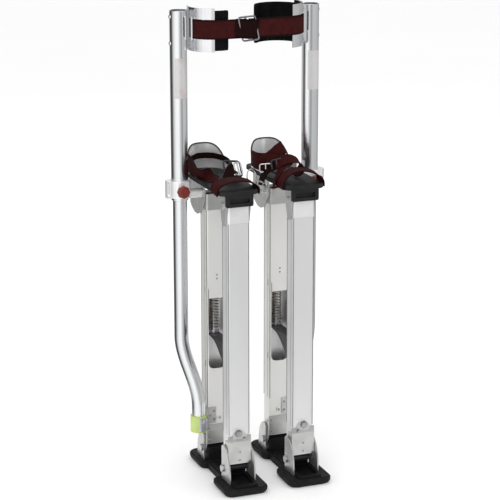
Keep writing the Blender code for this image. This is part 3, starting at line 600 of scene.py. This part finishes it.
def dress_cad():
    """Gives every CAD node its material, welds its facets and softens its edges."""
    for name, made in NODES.items():
        kind = name.split("_", 1)[1] if name != "calf_buckle" else name
        made.data.materials.clear()
        made.data.materials.append(MATERIALS[CAD_LOOKS[kind]])
        weld = made.modifiers.new("weld", "WELD")
        weld.merge_threshold = 0.00002
        add_edge(made, BEVELS.get(kind, EDGE))


# ---------------------------------------------------------------- straps and small hardware

def strap(name, side, body, points, width=0.038, replaces=(), look="webbing"):
    """Webbing along points (u, y, z, width direction); its uv is in metres, across and along."""
    samples = smooth_path(points)
    spots = [Vector(s[:3]) for s in samples]
    last = len(spots) - 1
    half, h = width / 2, WEB / 2
    profile = [(-half, 0), (-half + h * 0.5, h * 0.8), (-half + h * 1.6, h), (-half * 0.5, h * 0.9),
               (0, h * 0.9), (half * 0.5, h * 0.9), (half - h * 1.6, h), (half - h * 0.5, h * 0.8), (half, 0),
               (half - h * 0.5, -h * 0.8), (half - h * 1.6, -h), (0, -h * 0.9), (-half + h * 1.6, -h),
               (-half + h * 0.5, -h * 0.8)]
    bm = bmesh.new()
    uv = bm.loops.layers.uv.new("UVMap")
    rows, along = [], [0.0]
    for i, sample in enumerate(samples):
        if i:
            along.append(along[-1] + (spots[i] - spots[i - 1]).length)
        ahead = (spots[min(i + 1, last)] - spots[max(i - 1, 0)]).normalized()
        wide = Vector(sample[3:6])
        wide = (wide - ahead * wide.dot(ahead)).normalized()
        out = ahead.cross(wide)
        rows.append([bm.verts.new(spots[i] + wide * a + out * b) for a, b in profile])
    n = len(profile)

    def face(corners):
        made = bm.faces.new([c[0] for c in corners])
        for loop, (_, place) in zip(made.loops, corners):
            loop[uv].uv = place
    for i in range(last):
        for k in range(n):
            m = (k + 1) % n
            corners = ((i, k), (i, m), (i + 1, m), (i + 1, k))
            face([(rows[row][column], (profile[column][0], along[row])) for row, column in corners])
    for i in (0, last):
        face([(v, (p[0], along[i])) for v, p in zip(rows[i], profile)])
    finish(name, bm, body, look, side, 70, 0, replaces)


def stitch_box(bm, centre, along, across, length, width, lift):
    """A sewn rectangle with a cross in it: short raised threads on a strap's face."""
    along, across = Vector(along).normalized(), Vector(across).normalized()
    out = along.cross(across).normalized()
    centre = Vector(centre) + out * lift
    a, b = along * length / 2, across * width / 2
    corners = [centre - a - b, centre + a - b, centre + a + b, centre - a + b]
    for p, q in ((0, 1), (1, 2), (2, 3), (3, 0), (0, 2), (1, 3)):
        run = corners[q] - corners[p]
        count = max(3, int(run.length / 0.0032))
        for i in range(count):
            start = corners[p] + run * ((i + 0.15) / count)
            end = corners[p] + run * ((i + 0.85) / count)
            tube(bm, [start - out * 0.0003, start + (end - start) * 0.3 + out * 0.0002,
                      start + (end - start) * 0.7 + out * 0.0002, end - out * 0.0003], 0.00035, 6)


def frame_loop(bm, centre, along, across, length, width, bar, corner, middle=None):
    """Rounded rectangular wire frame with an optional middle bar."""
    centre, along, across = Vector(centre), Vector(along).normalized(), Vector(across).normalized()
    outline = rounded(-length / 2, length / 2, -width / 2, width / 2, corner, 6)
    tube(bm, [centre + along * x + across * y for x, y in outline], bar, 10, True)
    if middle is not None:
        tube(bm, [centre + along * middle + across * t * (width / 2) for t in (-1, -0.5, 0, 0.5, 1)], bar, 10)


def hex_bolt(bm, centre, axis, base, out, radius, height, turn):
    """Hexagon head with a washer under it; out is +1 or -1 along axis."""
    disc(bm, centre, axis, [(base, radius * 1.15), (base + out * 0.0008, radius * 1.15)], 24)
    hexagon = [(centre[0] + radius * math.cos(math.radians(60 * i + turn)),
                centre[1] + radius * math.sin(math.radians(60 * i + turn))) for i in range(6)]
    small = [(centre[0] + (x - centre[0]) * 0.86, centre[1] + (y - centre[1]) * 0.86) for x, y in hexagon]
    loft(bm, [[spatial(p, axis, base + out * h) for p in ring]
              for h, ring in ((0.0008, hexagon), (height * 0.8, hexagon), (height, small))])


def dome_head(bm, centre, axis, base, out, radius, height):
    """Rounded rivet or screw head; out is +1 or -1 along axis."""
    profile = [(base, radius)]
    for t in (0.25, 0.5, 0.7, 0.85, 0.95):
        angle = math.radians(90 * t)
        profile.append((base + out * height * math.sin(angle), radius * math.cos(angle)))
    disc(bm, centre, axis, profile, 20)


# ---------------------------------------------------------------- pieces

def leg_tubes(side):
    """Upper tube with its two screw heads, and the bent lower tube that it slides on."""
    body = side + "_leg_tube"
    bm = bmesh.new()
    low, high = 0.568, 0.945
    r, bore = UPPER_R, LOWER_R + 0.0005
    levels = [(low, bore), (low, r - 0.0006), (low + 0.0006, r)]
    levels += [(low + 0.0006 + (high - low - 0.0012) * i / 12, r) for i in range(1, 12)]
    levels += [(high - 0.0006, r), (high, r - 0.0006), (high, bore), (high - 0.1, bore), (low + 0.1, bore)]
    loft(bm, [[(LEG_U + rr * math.cos(t), REAR_Y + rr * math.sin(t), z)
               for t in (2 * math.pi * k / 64 for k in range(64))] for z, rr in levels], True)
    for z in (0.881, 0.933):
        dome_head(bm, (REAR_Y, z), "X", LEG_U + UPPER_R - 0.0006, 1, 0.0042, 0.0030)
    finish(side + "_upper_tube_skin", bm, body, "tube", side, 35, 0, (side + "_upper_leg_tube",))

    bm = bmesh.new()
    points = [(LEG_U, REAR_Y, 0.932), (LEG_U, REAR_Y, 0.75), (LEG_U, REAR_Y, 0.6), (LEG_U, REAR_Y, 0.45),
              (LEG_U, REAR_Y, 0.36), (LEG_U, REAR_Y, 0.285)]
    for i in range(1, 41):
        t = i / 40
        ease = t * t * (3 - 2 * t)
        points.append((LEG_U + (BUSHING[0] - LEG_U) * ease, REAR_Y + (BUSHING[1] - REAR_Y) * ease,
                       0.285 - 0.145 * t))
    points += [(*BUSHING, z) for z in (0.125, 0.105, 0.086)]
    tube(bm, points, LOWER_R, 48)
    finish(side + "_lower_tube_skin", bm, side + "_rear_lower", "tube", side, 35, 0,
           (side + "_lower_leg_tube",))


def out_arc(radius, start, end, steps):
    """Arc round the calf's axis; its angle turns from outwards, at 0, to the front, at 90."""
    out = []
    for i in range(steps + 1):
        angle = math.radians(start + (end - start) * i / steps)
        out.append((radius * math.cos(angle), REAR_Y - radius * math.sin(angle)))
    return out


def calf_pad(side):
    """Foam liner with crowned edges and a bound rim."""
    start, end = PAD_ARC[side]
    low, high = BAND_SPAN[0] + 0.002, BAND_SPAN[1] - 0.005
    outer = BAND_R - BAND_WALL - 0.0003
    inner = outer - 0.008
    steps = 90
    bm = bmesh.new()
    rings = []
    half = (high - low) / 2
    middle = (high + low) / 2
    profile = []
    for k in range(28):
        t = 2 * math.pi * k / 28
        c, s = math.cos(t), math.sin(t)
        across = math.copysign(abs(c) ** 0.35, c)
        up = math.copysign(abs(s) ** 0.18, s)
        profile.append((across, up))
    for i in range(steps + 1):
        angle = math.radians(start + (end - start) * i / steps)
        edge = min(i, steps - i) / 5.0
        pinch = math.sqrt(max(0.0, 1 - (1 - min(1.0, edge)) ** 2)) * 0.86 + 0.14
        swell = 0.0004 * math.sin(i * 0.55) + 0.0003 * math.sin(i * 1.3 + 1)
        ring = []
        for across, up in profile:
            r = (outer + inner) / 2 + across * (outer - inner) / 2 * pinch
            if across < 0:
                r -= swell * (1 - up * up)
            z = middle + up * half * (0.97 + 0.03 * pinch)
            ring.append((r * math.cos(angle), REAR_Y - r * math.sin(angle), z))
        rings.append(ring)
    loft(bm, rings)
    made = finish(side + "_calf_pad_soft", bm, side + "_leg_tube", "foam", side, 80, 0,
                  (side + "_calf_pad",))


def calf_strap(side):
    """Webbing from beside the tube round the band to the shared buckle."""
    # The strap ends at x end_x, inside the buckle; reach is the same place as u.
    end_x = {"right": -0.0165, "left": -0.0125}[side]
    reach = SIGN[side] * end_x - MIDDLE
    radius = BAND_R + 0.0003 + WEB / 2
    z = STRAP_Z
    pts = [(x, y, z, 0, 0, 1) for x, y in out_arc(radius, 22, 86, 9)]
    pts += [(reach * 0.35, REAR_Y - radius + 0.0002, z, 0, 0, 1), (reach * 0.7, REAR_Y - radius, z, 0, 0, 1),
            (reach, REAR_Y - radius, z, 0, 0, 1)]
    strap(side + "_calf_webbing", side, side + "_leg_tube", pts, replaces=(side + "_calf_strap",))
    bm = bmesh.new()
    angle = math.radians(36)
    spot = (radius * math.cos(angle), REAR_Y - radius * math.sin(angle), z)
    stitch_box(bm, spot, (math.sin(angle), math.cos(angle), 0), (0, 0, -1), 0.018, 0.028, WEB / 2)
    finish(side + "_calf_stitching", bm, side + "_leg_tube", "thread", side, 60, 0)


def heel_cup(side):
    """Plate bent round the heel, high at the back, with a black edge trim."""
    radius, wall, centre_y, low = 0.0405, 0.0022, 0.096, MAT_TOP + 0.0003
    side_height, back_rise, rise_y = 0.627, 0.037, 0.088
    plan = [(radius, 0.052 + 0.028 * i / 8) for i in range(8)] + arc((0, centre_y), radius, 0, 180, 56)
    plan += [(-radius, 0.080 - 0.028 * i / 8) for i in range(1, 9)]
    bm = bmesh.new()
    rings = []
    last = len(plan) - 1
    for i, (u, y) in enumerate(plan):
        back = max(0.0, (y - rise_y) / (centre_y + radius - rise_y))
        high = side_height + back_rise * (back * back * (3 - 2 * back))
        a, b = Vector(plan[max(i - 1, 0)]), Vector(plan[min(i + 1, last)])
        ahead = (b - a).normalized()
        inward = Vector((-ahead.y, ahead.x))
        ring = []
        for depth, z in ((0, low), (0, high - 0.012), (0, high - 0.0008), (0.25, high - 0.0002),
                         (0.75, high - 0.0002), (1, high - 0.0008), (1, high - 0.012), (1, low)):
            ring.append((u + inward.x * wall * depth, y + inward.y * wall * depth, z))
        rings.append(ring)
    loft(bm, rings)
    for u in (-1, 1):
        dome_head(bm, (0.064, 0.6195), "X", u * (radius - 0.0002), u, 0.0032, 0.0016)
    finish(side + "_heel_cup_skin", bm, side + "_foot", "cup", side, 35, 0,
           (side + "_heel_cup",))
    bm = bmesh.new()
    tube(bm, [(ring[3][0] * 0.5 + ring[4][0] * 0.5, ring[3][1] * 0.5 + ring[4][1] * 0.5, ring[3][2] - 0.0004)
              for ring in rings], 0.0017, 12)
    finish(side + "_heel_cup_trim", bm, side + "_foot", "nylon_black", side, 60, 0)


def spring(side):
    """Open coil between the ends of the spring's span, unparented and baked in place."""
    turns, steps, wire, mean = 11, 28, 0.0013, 0.0084
    low, high = SPRING_SPAN[0] + wire, SPRING_SPAN[1] - wire
    path = []
    total = turns * steps
    for i in range(total + 1):
        t = i / total
        angle = 2 * math.pi * i / steps
        path.append((mean * math.cos(angle), REAR_Y + mean * math.sin(angle), low + (high - low) * t))
    bm = bmesh.new()
    tube(bm, path, wire, 10)
    made = finish(side + "_spring_coil", bm, side + "_rear_lower", "spring", side, 60, 0,
                  (side + "_spring",))
    made.parent = None
    del made["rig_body"]
    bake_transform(made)


def knob(side):
    """Fluted grip of the clamp knob, with a hollow in its face."""
    middle, z = 0.0745, 0.5905
    back = REAR_Y - 0.026 - 0.0003
    bm = bmesh.new()
    sides = 96

    def ring(scale, y, flute=1.0):
        out = []
        for i in range(sides):
            angle = 2 * math.pi * i / sides
            dip = 0.0011 * flute * (0.5 - 0.5 * math.cos(8 * angle))
            radius = (0.0125 - dip) * scale
            out.append((middle + radius * math.cos(angle), y, z + radius * math.sin(angle)))
        return out
    loft(bm, [ring(0.80, back), ring(0.86, back - 0.0006), ring(1, back - 0.003), ring(1, back - 0.0105),
              ring(0.97, back - 0.0122), ring(0.88, back - 0.0133), ring(0.6, back - 0.0136, 0.3),
              ring(0.42, back - 0.0136, 0), ring(0.38, back - 0.0128, 0), ring(0.1, back - 0.0126, 0)])
    finish(side + "_knob_grip", bm, side + "_clamp_knob", "red", side, 45, 0,
           (side + "_clamp_knob",))


def label(side):
    """Blank label wrapped part of the way round the upper tube."""
    z0, z1 = 0.774, 0.853
    bm = bmesh.new()
    uv = bm.loops.layers.uv.new("UVMap")
    r = UPPER_R + 0.00012
    start, end = (-135, -45) if side == "right" else (-130, -40)
    steps = 24
    rows = []
    for i in range(steps + 1):
        angle = math.radians(start + (end - start) * i / steps)
        # SIGN cancels the mirroring, so both labels face the way that their angles say.
        x = LEG_U + SIGN[side] * r * math.cos(angle)
        y = REAR_Y + r * math.sin(angle)
        rows.append([bm.verts.new((x, y, z)) for z in (z0, z1)])
    for i in range(steps):
        made = bm.faces.new((rows[i][0], rows[i + 1][0], rows[i + 1][1], rows[i][1]))
        left, right = i / steps, (i + 1) / steps
        for loop, place in zip(made.loops, ((left, 0), (right, 0), (right, 1), (left, 1))):
            loop[uv].uv = place
    made = finish(side + "_tube_label", bm, side + "_leg_tube", "label", side, 60, 0)
    thick = made.modifiers.new("thick", "SOLIDIFY")
    thick.thickness = 0.00008


def fasteners(side):
    """Bolts, washers and rivets of the two struts, which their CAD nodes leave plain."""
    front, rear = side + "_front_lower", side + "_rear_lower"
    bm = bmesh.new()
    face = REAR_Y - STRUT_HALF
    for z in (0.402, 0.410):
        dome_head(bm, (0.0, z), "Y", face, -1, 0.0020, 0.0010)
    hex_bolt(bm, (-0.003, 0.106), "Y", face - 0.0002, -1, 0.0036, 0.0034, 15)
    for u, z in ((0.009, 0.122), (0.009, 0.104), (0.017, 0.113)):
        dome_head(bm, (u, z), "Y", face - 0.0024, -1, 0.0027, 0.0014)
    for u in (-0.0195, 0.0195):
        for z in (0.060, 0.084):
            dome_head(bm, (u, z), "Y", face - 0.0027, -1, 0.0018, 0.0009)
    finish(side + "_rear_strut_bolts", bm, rear, "bolt", side, 40, 0)
    bm = bmesh.new()
    face = FRONT_Y - STRUT_HALF - 0.0018
    hex_bolt(bm, (0.002, 0.1145), "Y", face, -1, 0.0068, 0.0058, 10)
    hex_bolt(bm, (-0.0105, 0.1030), "Y", face - 0.0010, -1, 0.0030, 0.0034, 25)
    finish(side + "_front_strut_bolts", bm, front, "bolt", side, 40, 0)


def strut_shadow_lines(side):
    """Painted shadow lines down the outer struts, for the shade in their grooves: one on each corner and one
    on each side face.
    """
    corner_u, corner_y, half = 0.0213, 0.0163, 0.0006
    line_u, line_half = 0.0219, 0.0003
    high = OUTER_TOP - 0.0005
    for place, middle, low in (("front", FRONT_Y, 0.112), ("rear", REAR_Y, 0.132)):
        bm = bmesh.new()
        for sign in (-1, 1):
            u = sign * corner_u
            for v in (-1, 1):
                y = middle + v * corner_y
                corner = rounded(u - half, u + half, y - half, y + half, 0.0004, 2)
                prism(bm, corner, "Z", low, high)
            u = sign * line_u
            line = rounded(u - line_half, u + line_half, middle - 0.0062, middle - 0.0052, 0.0002, 2)
            prism(bm, line, "Z", low, high)
        finish(side + "_" + place + "_strut_shadow_lines", bm, side + "_" + place + "_lower", "shadow_line", side, 40, 0)


def tube_hardware(side):
    """Folded bracket on the rear strut, and the saddle round the green bushing's inner side."""
    body = side + "_rear_lower"
    inner, outer, face = 0.0223, 0.0243, REAR_Y - 0.0173
    bm = bmesh.new()
    prism(bm, [(0.004, face), (0.004, face - 0.0022), (outer, face - 0.0022), (outer, face + 0.032),
               (inner, face + 0.032), (inner, face)], "Z", 0.096, 0.130)
    finish(side + "_tube_bracket_skin", bm, body, "shade_darkened_cast_metal", side, 40, 0.0005,
           (side + "_tube_bracket",))
    bm = bmesh.new()
    outline = arc(BUSHING, 0.0199, -74, -285, 40) + arc(BUSHING, 0.0176, -285, -74, 40)
    prism(bm, outline, "Z", 0.0875, 0.1145)
    hex_bolt(bm, (0.0367, 0.108), "Y", 0.0232, -1, 0.0042, 0.0045, 20)
    finish(side + "_bushing_saddle", bm, body, "zinc", side, 40, 0.0004)


def clamp_shadow_lines(side):
    """Painted shadow lines of the leg clamp, for the shade in its slit and joints: an upright slit between
    two short level lines.
    """
    base = 0.574
    bm = bmesh.new()
    front = REAR_Y - 0.011 - 0.0001
    for u0, u1, z0, z1 in ((0.0258, 0.0268, 0.0100, 0.0315), (0.0258, 0.0288, 0.0020, 0.0030),
                           (0.0258, 0.0288, 0.0322, 0.0332)):
        outline = rounded(LEG_U + u0, LEG_U + u1, front - 0.0002, front + 0.0004, 0.0002, 2)
        prism(bm, outline, "Z", base + z0, base + z1)
    finish(side + "_clamp_shadow_lines", bm, side + "_rear_upper", "shadow_line", side, 40, 0)


def band_plates(side):
    """Riveted plates on the calf band beside the leg tube, above and below the strap."""
    bm = bmesh.new()
    for low, high in ((0.870, 0.887), (0.933, 0.947)):
        outline = out_arc(BAND_R + 0.0016, 14, 33, 8) + out_arc(BAND_R - 0.0004, 33, 14, 8)
        prism(bm, outline, "Z", low, high)
        angle = math.radians(24)
        spot = Vector((math.cos(angle), -math.sin(angle), 0))
        middle = (low + high) / 2
        base = spot * (BAND_R + 0.0012) + Vector((0, REAR_Y, middle))
        tube(bm, [base, base + spot * 0.0010, base + spot * 0.0018], 0.0030, 16)
    finish(side + "_band_plates", bm, side + "_leg_tube", "zinc", side, 40, 0)


def foot_straps(side):
    """Toe and ankle webbing lying loose, with ladder buckles and, on the left, a wire ring."""
    body = side + "_foot"
    edge = MAT_HALF + 0.0006 + WEB / 2
    toe = {
        "right": [(edge, -0.060, 0.604, 0, 1, 0), (edge, -0.061, 0.612, 0, 1, 0),
                  (0.0400, -0.062, 0.6195, 0.1, 1, 0), (0.028, -0.063, 0.6265, 0.15, 1, 0),
                  (0.008, -0.063, 0.6300, 0.1, 1, 0.02), (-0.014, -0.062, 0.6285, 0, 1, 0.02),
                  (-0.032, -0.062, 0.6225, -0.1, 1, 0), (-0.0405, -0.062, 0.6160, 0, 1, 0),
                  (-edge, -0.061, 0.609, 0, 1, 0), (-edge, -0.060, 0.604, 0, 1, 0)],
        "left": [(-edge, -0.060, 0.604, 0, 1, 0), (-edge, -0.060, 0.612, 0, 1, 0),
                 (-0.0385, -0.058, 0.6210, 0, 1, 0), (-0.026, -0.056, 0.6310, 0.05, 1, 0),
                 (-0.006, -0.055, 0.6365, 0.1, 1, 0), (0.014, -0.056, 0.6350, 0.15, 1, 0),
                 (0.030, -0.058, 0.6290, 0.15, 1, 0.02), (0.0385, -0.059, 0.6230, 0.1, 1, 0),
                 (0.0420, -0.060, 0.6160, 0, 1, 0), (edge, -0.060, 0.610, 0, 1, 0),
                 (edge, -0.060, 0.604, 0, 1, 0)],
    }[side]
    strap(side + "_toe_webbing", side, body, toe, replaces=(side + "_toe_strap",))
    frames, bars = bmesh.new(), bmesh.new()
    if side == "right":
        strap(side + "_ankle_webbing", side, body,
              [(0.0425, 0.094, 0.634, 0, 0, 1), (0.0430, 0.068, 0.632, 0.05, 0, 1),
               (0.0425, 0.046, 0.627, 0.3, 0.05, 1), (0.036, 0.030, 0.621, 0.9, 0.3, 0.9),
               (0.024, 0.018, 0.6175, 0.6, 1, 0.4), (0.010, 0.010, 0.6155, 0.3, 1, 0.15)],
              replaces=(side + "_ankle_strap",))
        # The inner and end runs take the darkened webbing, painted shade for straps lying in shadow.
        strap(side + "_ankle_inner", side, body,
              [(0.030, 0.104, 0.640, 0, 0.1, 1), (0.010, 0.118, 0.641, 0, 0.1, 1),
               (-0.014, 0.112, 0.641, 0, 0, 1), (-0.028, 0.090, 0.640, 0, 0, 1),
               (-0.030, 0.064, 0.640, 0, 0, 1), (-0.026, 0.036, 0.640, 0, 0.1, 1),
               (-0.022, 0.014, 0.638, 0, 0.2, 1)], 0.012, look="shade_painted_webbing")
        strap(side + "_ankle_end", side, body,
              [(-0.030, 0.022, 0.626, 0.2, 0.6, 1), (-0.024, 0.006, 0.634, 0.3, 0.8, 0.8),
               (-0.014, -0.006, 0.636, 0.4, 1, 0.4), (-0.004, -0.014, 0.628, 0.5, 1, 0.0),
               (0.002, -0.020, 0.618, 0.5, 1, -0.1)], 0.025, look="shade_painted_webbing")
        frame_loop(frames, (-0.0200, 0.006, 0.635), (1, 0.1, 0.10), (0.05, 0.45, 1), 0.034, 0.031, 0.0021,
                   0.006, 0.004)
        frame_loop(bars, (-0.0270, -0.006, 0.637), (1, -0.2, -0.1), (0.1, 0.5, 1), 0.015, 0.025, 0.0015,
                   0.004, 0.0)
        frame_loop(bars, (-0.0110, 0.000, 0.630), (1, -0.2, 0.3), (-0.2, 0.6, 1), 0.010, 0.021, 0.0013, 0.003)
    else:
        strap(side + "_ankle_webbing", side, body,
              [(-0.0425, 0.096, 0.634, 0, 0, 1), (-0.0475, 0.074, 0.636, 0, 0, 1),
               (-0.0500, 0.052, 0.637, 0.1, 0, 1), (-0.0450, 0.034, 0.638, 0.2, 0.1, 1),
               (-0.0330, 0.022, 0.640, 0.2, 0.1, 1), (-0.020, 0.016, 0.638, 0.2, 0.2, 1)], 0.034,
              replaces=(side + "_ankle_strap",))
        strap(side + "_ankle_tail", side, body,
              [(-0.048, 0.030, 0.632, -0.55, 0.1, 0.85), (-0.038, 0.026, 0.640, -0.55, 0.1, 0.85),
               (-0.024, 0.024, 0.650, -0.5, 0.1, 0.85), (-0.010, 0.026, 0.660, -0.45, 0.1, 0.9),
               (0.001, 0.030, 0.665, -0.4, 0.1, 0.9)], 0.028)
        strap(side + "_ankle_loop", side, body,
              [(-0.026, 0.008, 0.636, 0.1, 1, 0.5), (-0.014, 0.000, 0.645, 0.1, 1, 0.5),
               (0.002, -0.006, 0.648, 0, 1, 0.4), (0.016, -0.010, 0.643, 0, 1, 0.3),
               (0.022, -0.012, 0.632, 0, 1, 0.2), (0.016, -0.012, 0.621, 0, 1, 0.2),
               (0.004, -0.012, 0.617, 0, 1, 0.1)], 0.030)
        strap(side + "_ankle_end", side, body,
              [(-0.004, -0.004, 0.638, 0.3, 1, 0.1), (-0.018, -0.016, 0.634, 0.4, 1, 0.1),
               (-0.033, -0.028, 0.625, 0.4, 1, 0.1), (-0.0445, -0.035, 0.612, 0.3, 1, 0),
               (-0.0475, -0.038, 0.598, 0.2, 1, 0)], 0.025)
        # The fold over the mat's edge takes the darkened webbing, painted shade for its run in shadow.
        strap(side + "_ankle_fold", side, body,
              [(-0.030, 0.012, 0.630, 0.2, 1, 0.2), (-0.044, 0.008, 0.624, 0.2, 1, 0.1),
               (-0.054, 0.006, 0.611, 0.1, 1, 0), (-0.057, 0.004, 0.597, 0, 1, 0)], 0.032,
              look="shade_painted_webbing")
        frame_loop(bars, (-0.0420, 0.018, 0.628), (1, -0.5, 0.1), (0.1, 0.35, 1), 0.024, 0.016, 0.0018,
                   0.004, 0.0)
        frame_loop(bars, (-0.0600, -0.004, 0.597), (0.5, -1, -0.2), (0.1, 0.1, 1), 0.030, 0.017, 0.0017,
                   0.004, 0.004)
        frame_loop(frames, (-0.0240, 0.002, 0.634), (1, -0.2, 0.2), (0, 0.5, 1), 0.022, 0.026, 0.0020,
                   0.005, 0.0)
        ring = arc((0, 0), 0.0175, 0, 360, 32)[:-1]
        tube(bars, [(-0.0585 + a * 0.2, 0.052 - a, 0.602 + b) for a, b in ring], 0.0013, 10, True)
    finish(side + "_buckle_frame", frames, body, "nylon_black", side, 60, 0)
    finish(side + "_buckle_bars", bars, body, "chrome", side, 60, 0)


def rubber_parts(side):
    """Black plugs in the struts' feet and the filler behind the toe axle."""
    for place, y in (("front", FRONT_Y), ("rear", REAR_Y)):
        bm = bmesh.new()
        prism(bm, rounded(-0.0195, 0.0195, y - 0.0145, y + 0.0145, 0.002), "Z", 0.0485, 0.060, 0.0006)
        finish(side + "_" + place + "_strut_plug", bm, side + "_" + place + "_lower", "nylon_black", side,
               40, 0)
    bm = bmesh.new()
    prism(bm, rounded(-0.0256, 0.0256, -0.0492, -0.0440, 0.001, 2), "Z", 0.0160, 0.0390)
    finish(side + "_toe_filler", bm, "root", "rubber", side, 40, 0.0006)


def calf_buckle():
    """Ladder buckle that joins the two calf straps, tilted, with the strap doubled through it."""
    y = REAR_Y - BAND_R - 0.0045
    z = STRAP_Z
    bm = bmesh.new()
    across, along = Vector((-0.20, 0, 1)), Vector((1, 0, 0.06))
    frame_loop(bm, (-0.0135, y, z), along, across, 0.034, 0.047, 0.0018, 0.004, -0.003)
    finish("calf_buckle_frame", bm, "right_leg_tube", "bolt", None, 60, 0, ("calf_buckle",))
    # The doubled tail takes the darkened webbing, which paints its shade behind the buckle.
    strap("calf_strap_tail", None, "right_leg_tube",
          [(-0.040, y + 0.0006, z + 0.001, 0, 0, 1), (-0.030, y - 0.0010, z + 0.001, 0.02, 0, 1),
           (-0.022, y - 0.0040, z, 0.1, 0, 1), (-0.010, y - 0.0050, z - 0.001, 0.25, 0, 1),
           (0.000, y - 0.0030, z - 0.002, 0.3, 0, 1), (0.006, y + 0.0010, z - 0.002, 0.3, 0, 1)],
          look="shade_painted_webbing")


build_camera()
build_studio()
build_reflectors()
build_floor()
dress_cad()
for each in ("right", "left"):
    leg_tubes(each)
    calf_pad(each)
    calf_strap(each)
    heel_cup(each)
    spring(each)
    knob(each)
    label(each)
    fasteners(each)
    strut_shadow_lines(each)
    foot_straps(each)
    rubber_parts(each)
    band_plates(each)
    tube_hardware(each)
    clamp_shadow_lines(each)
calf_buckle()
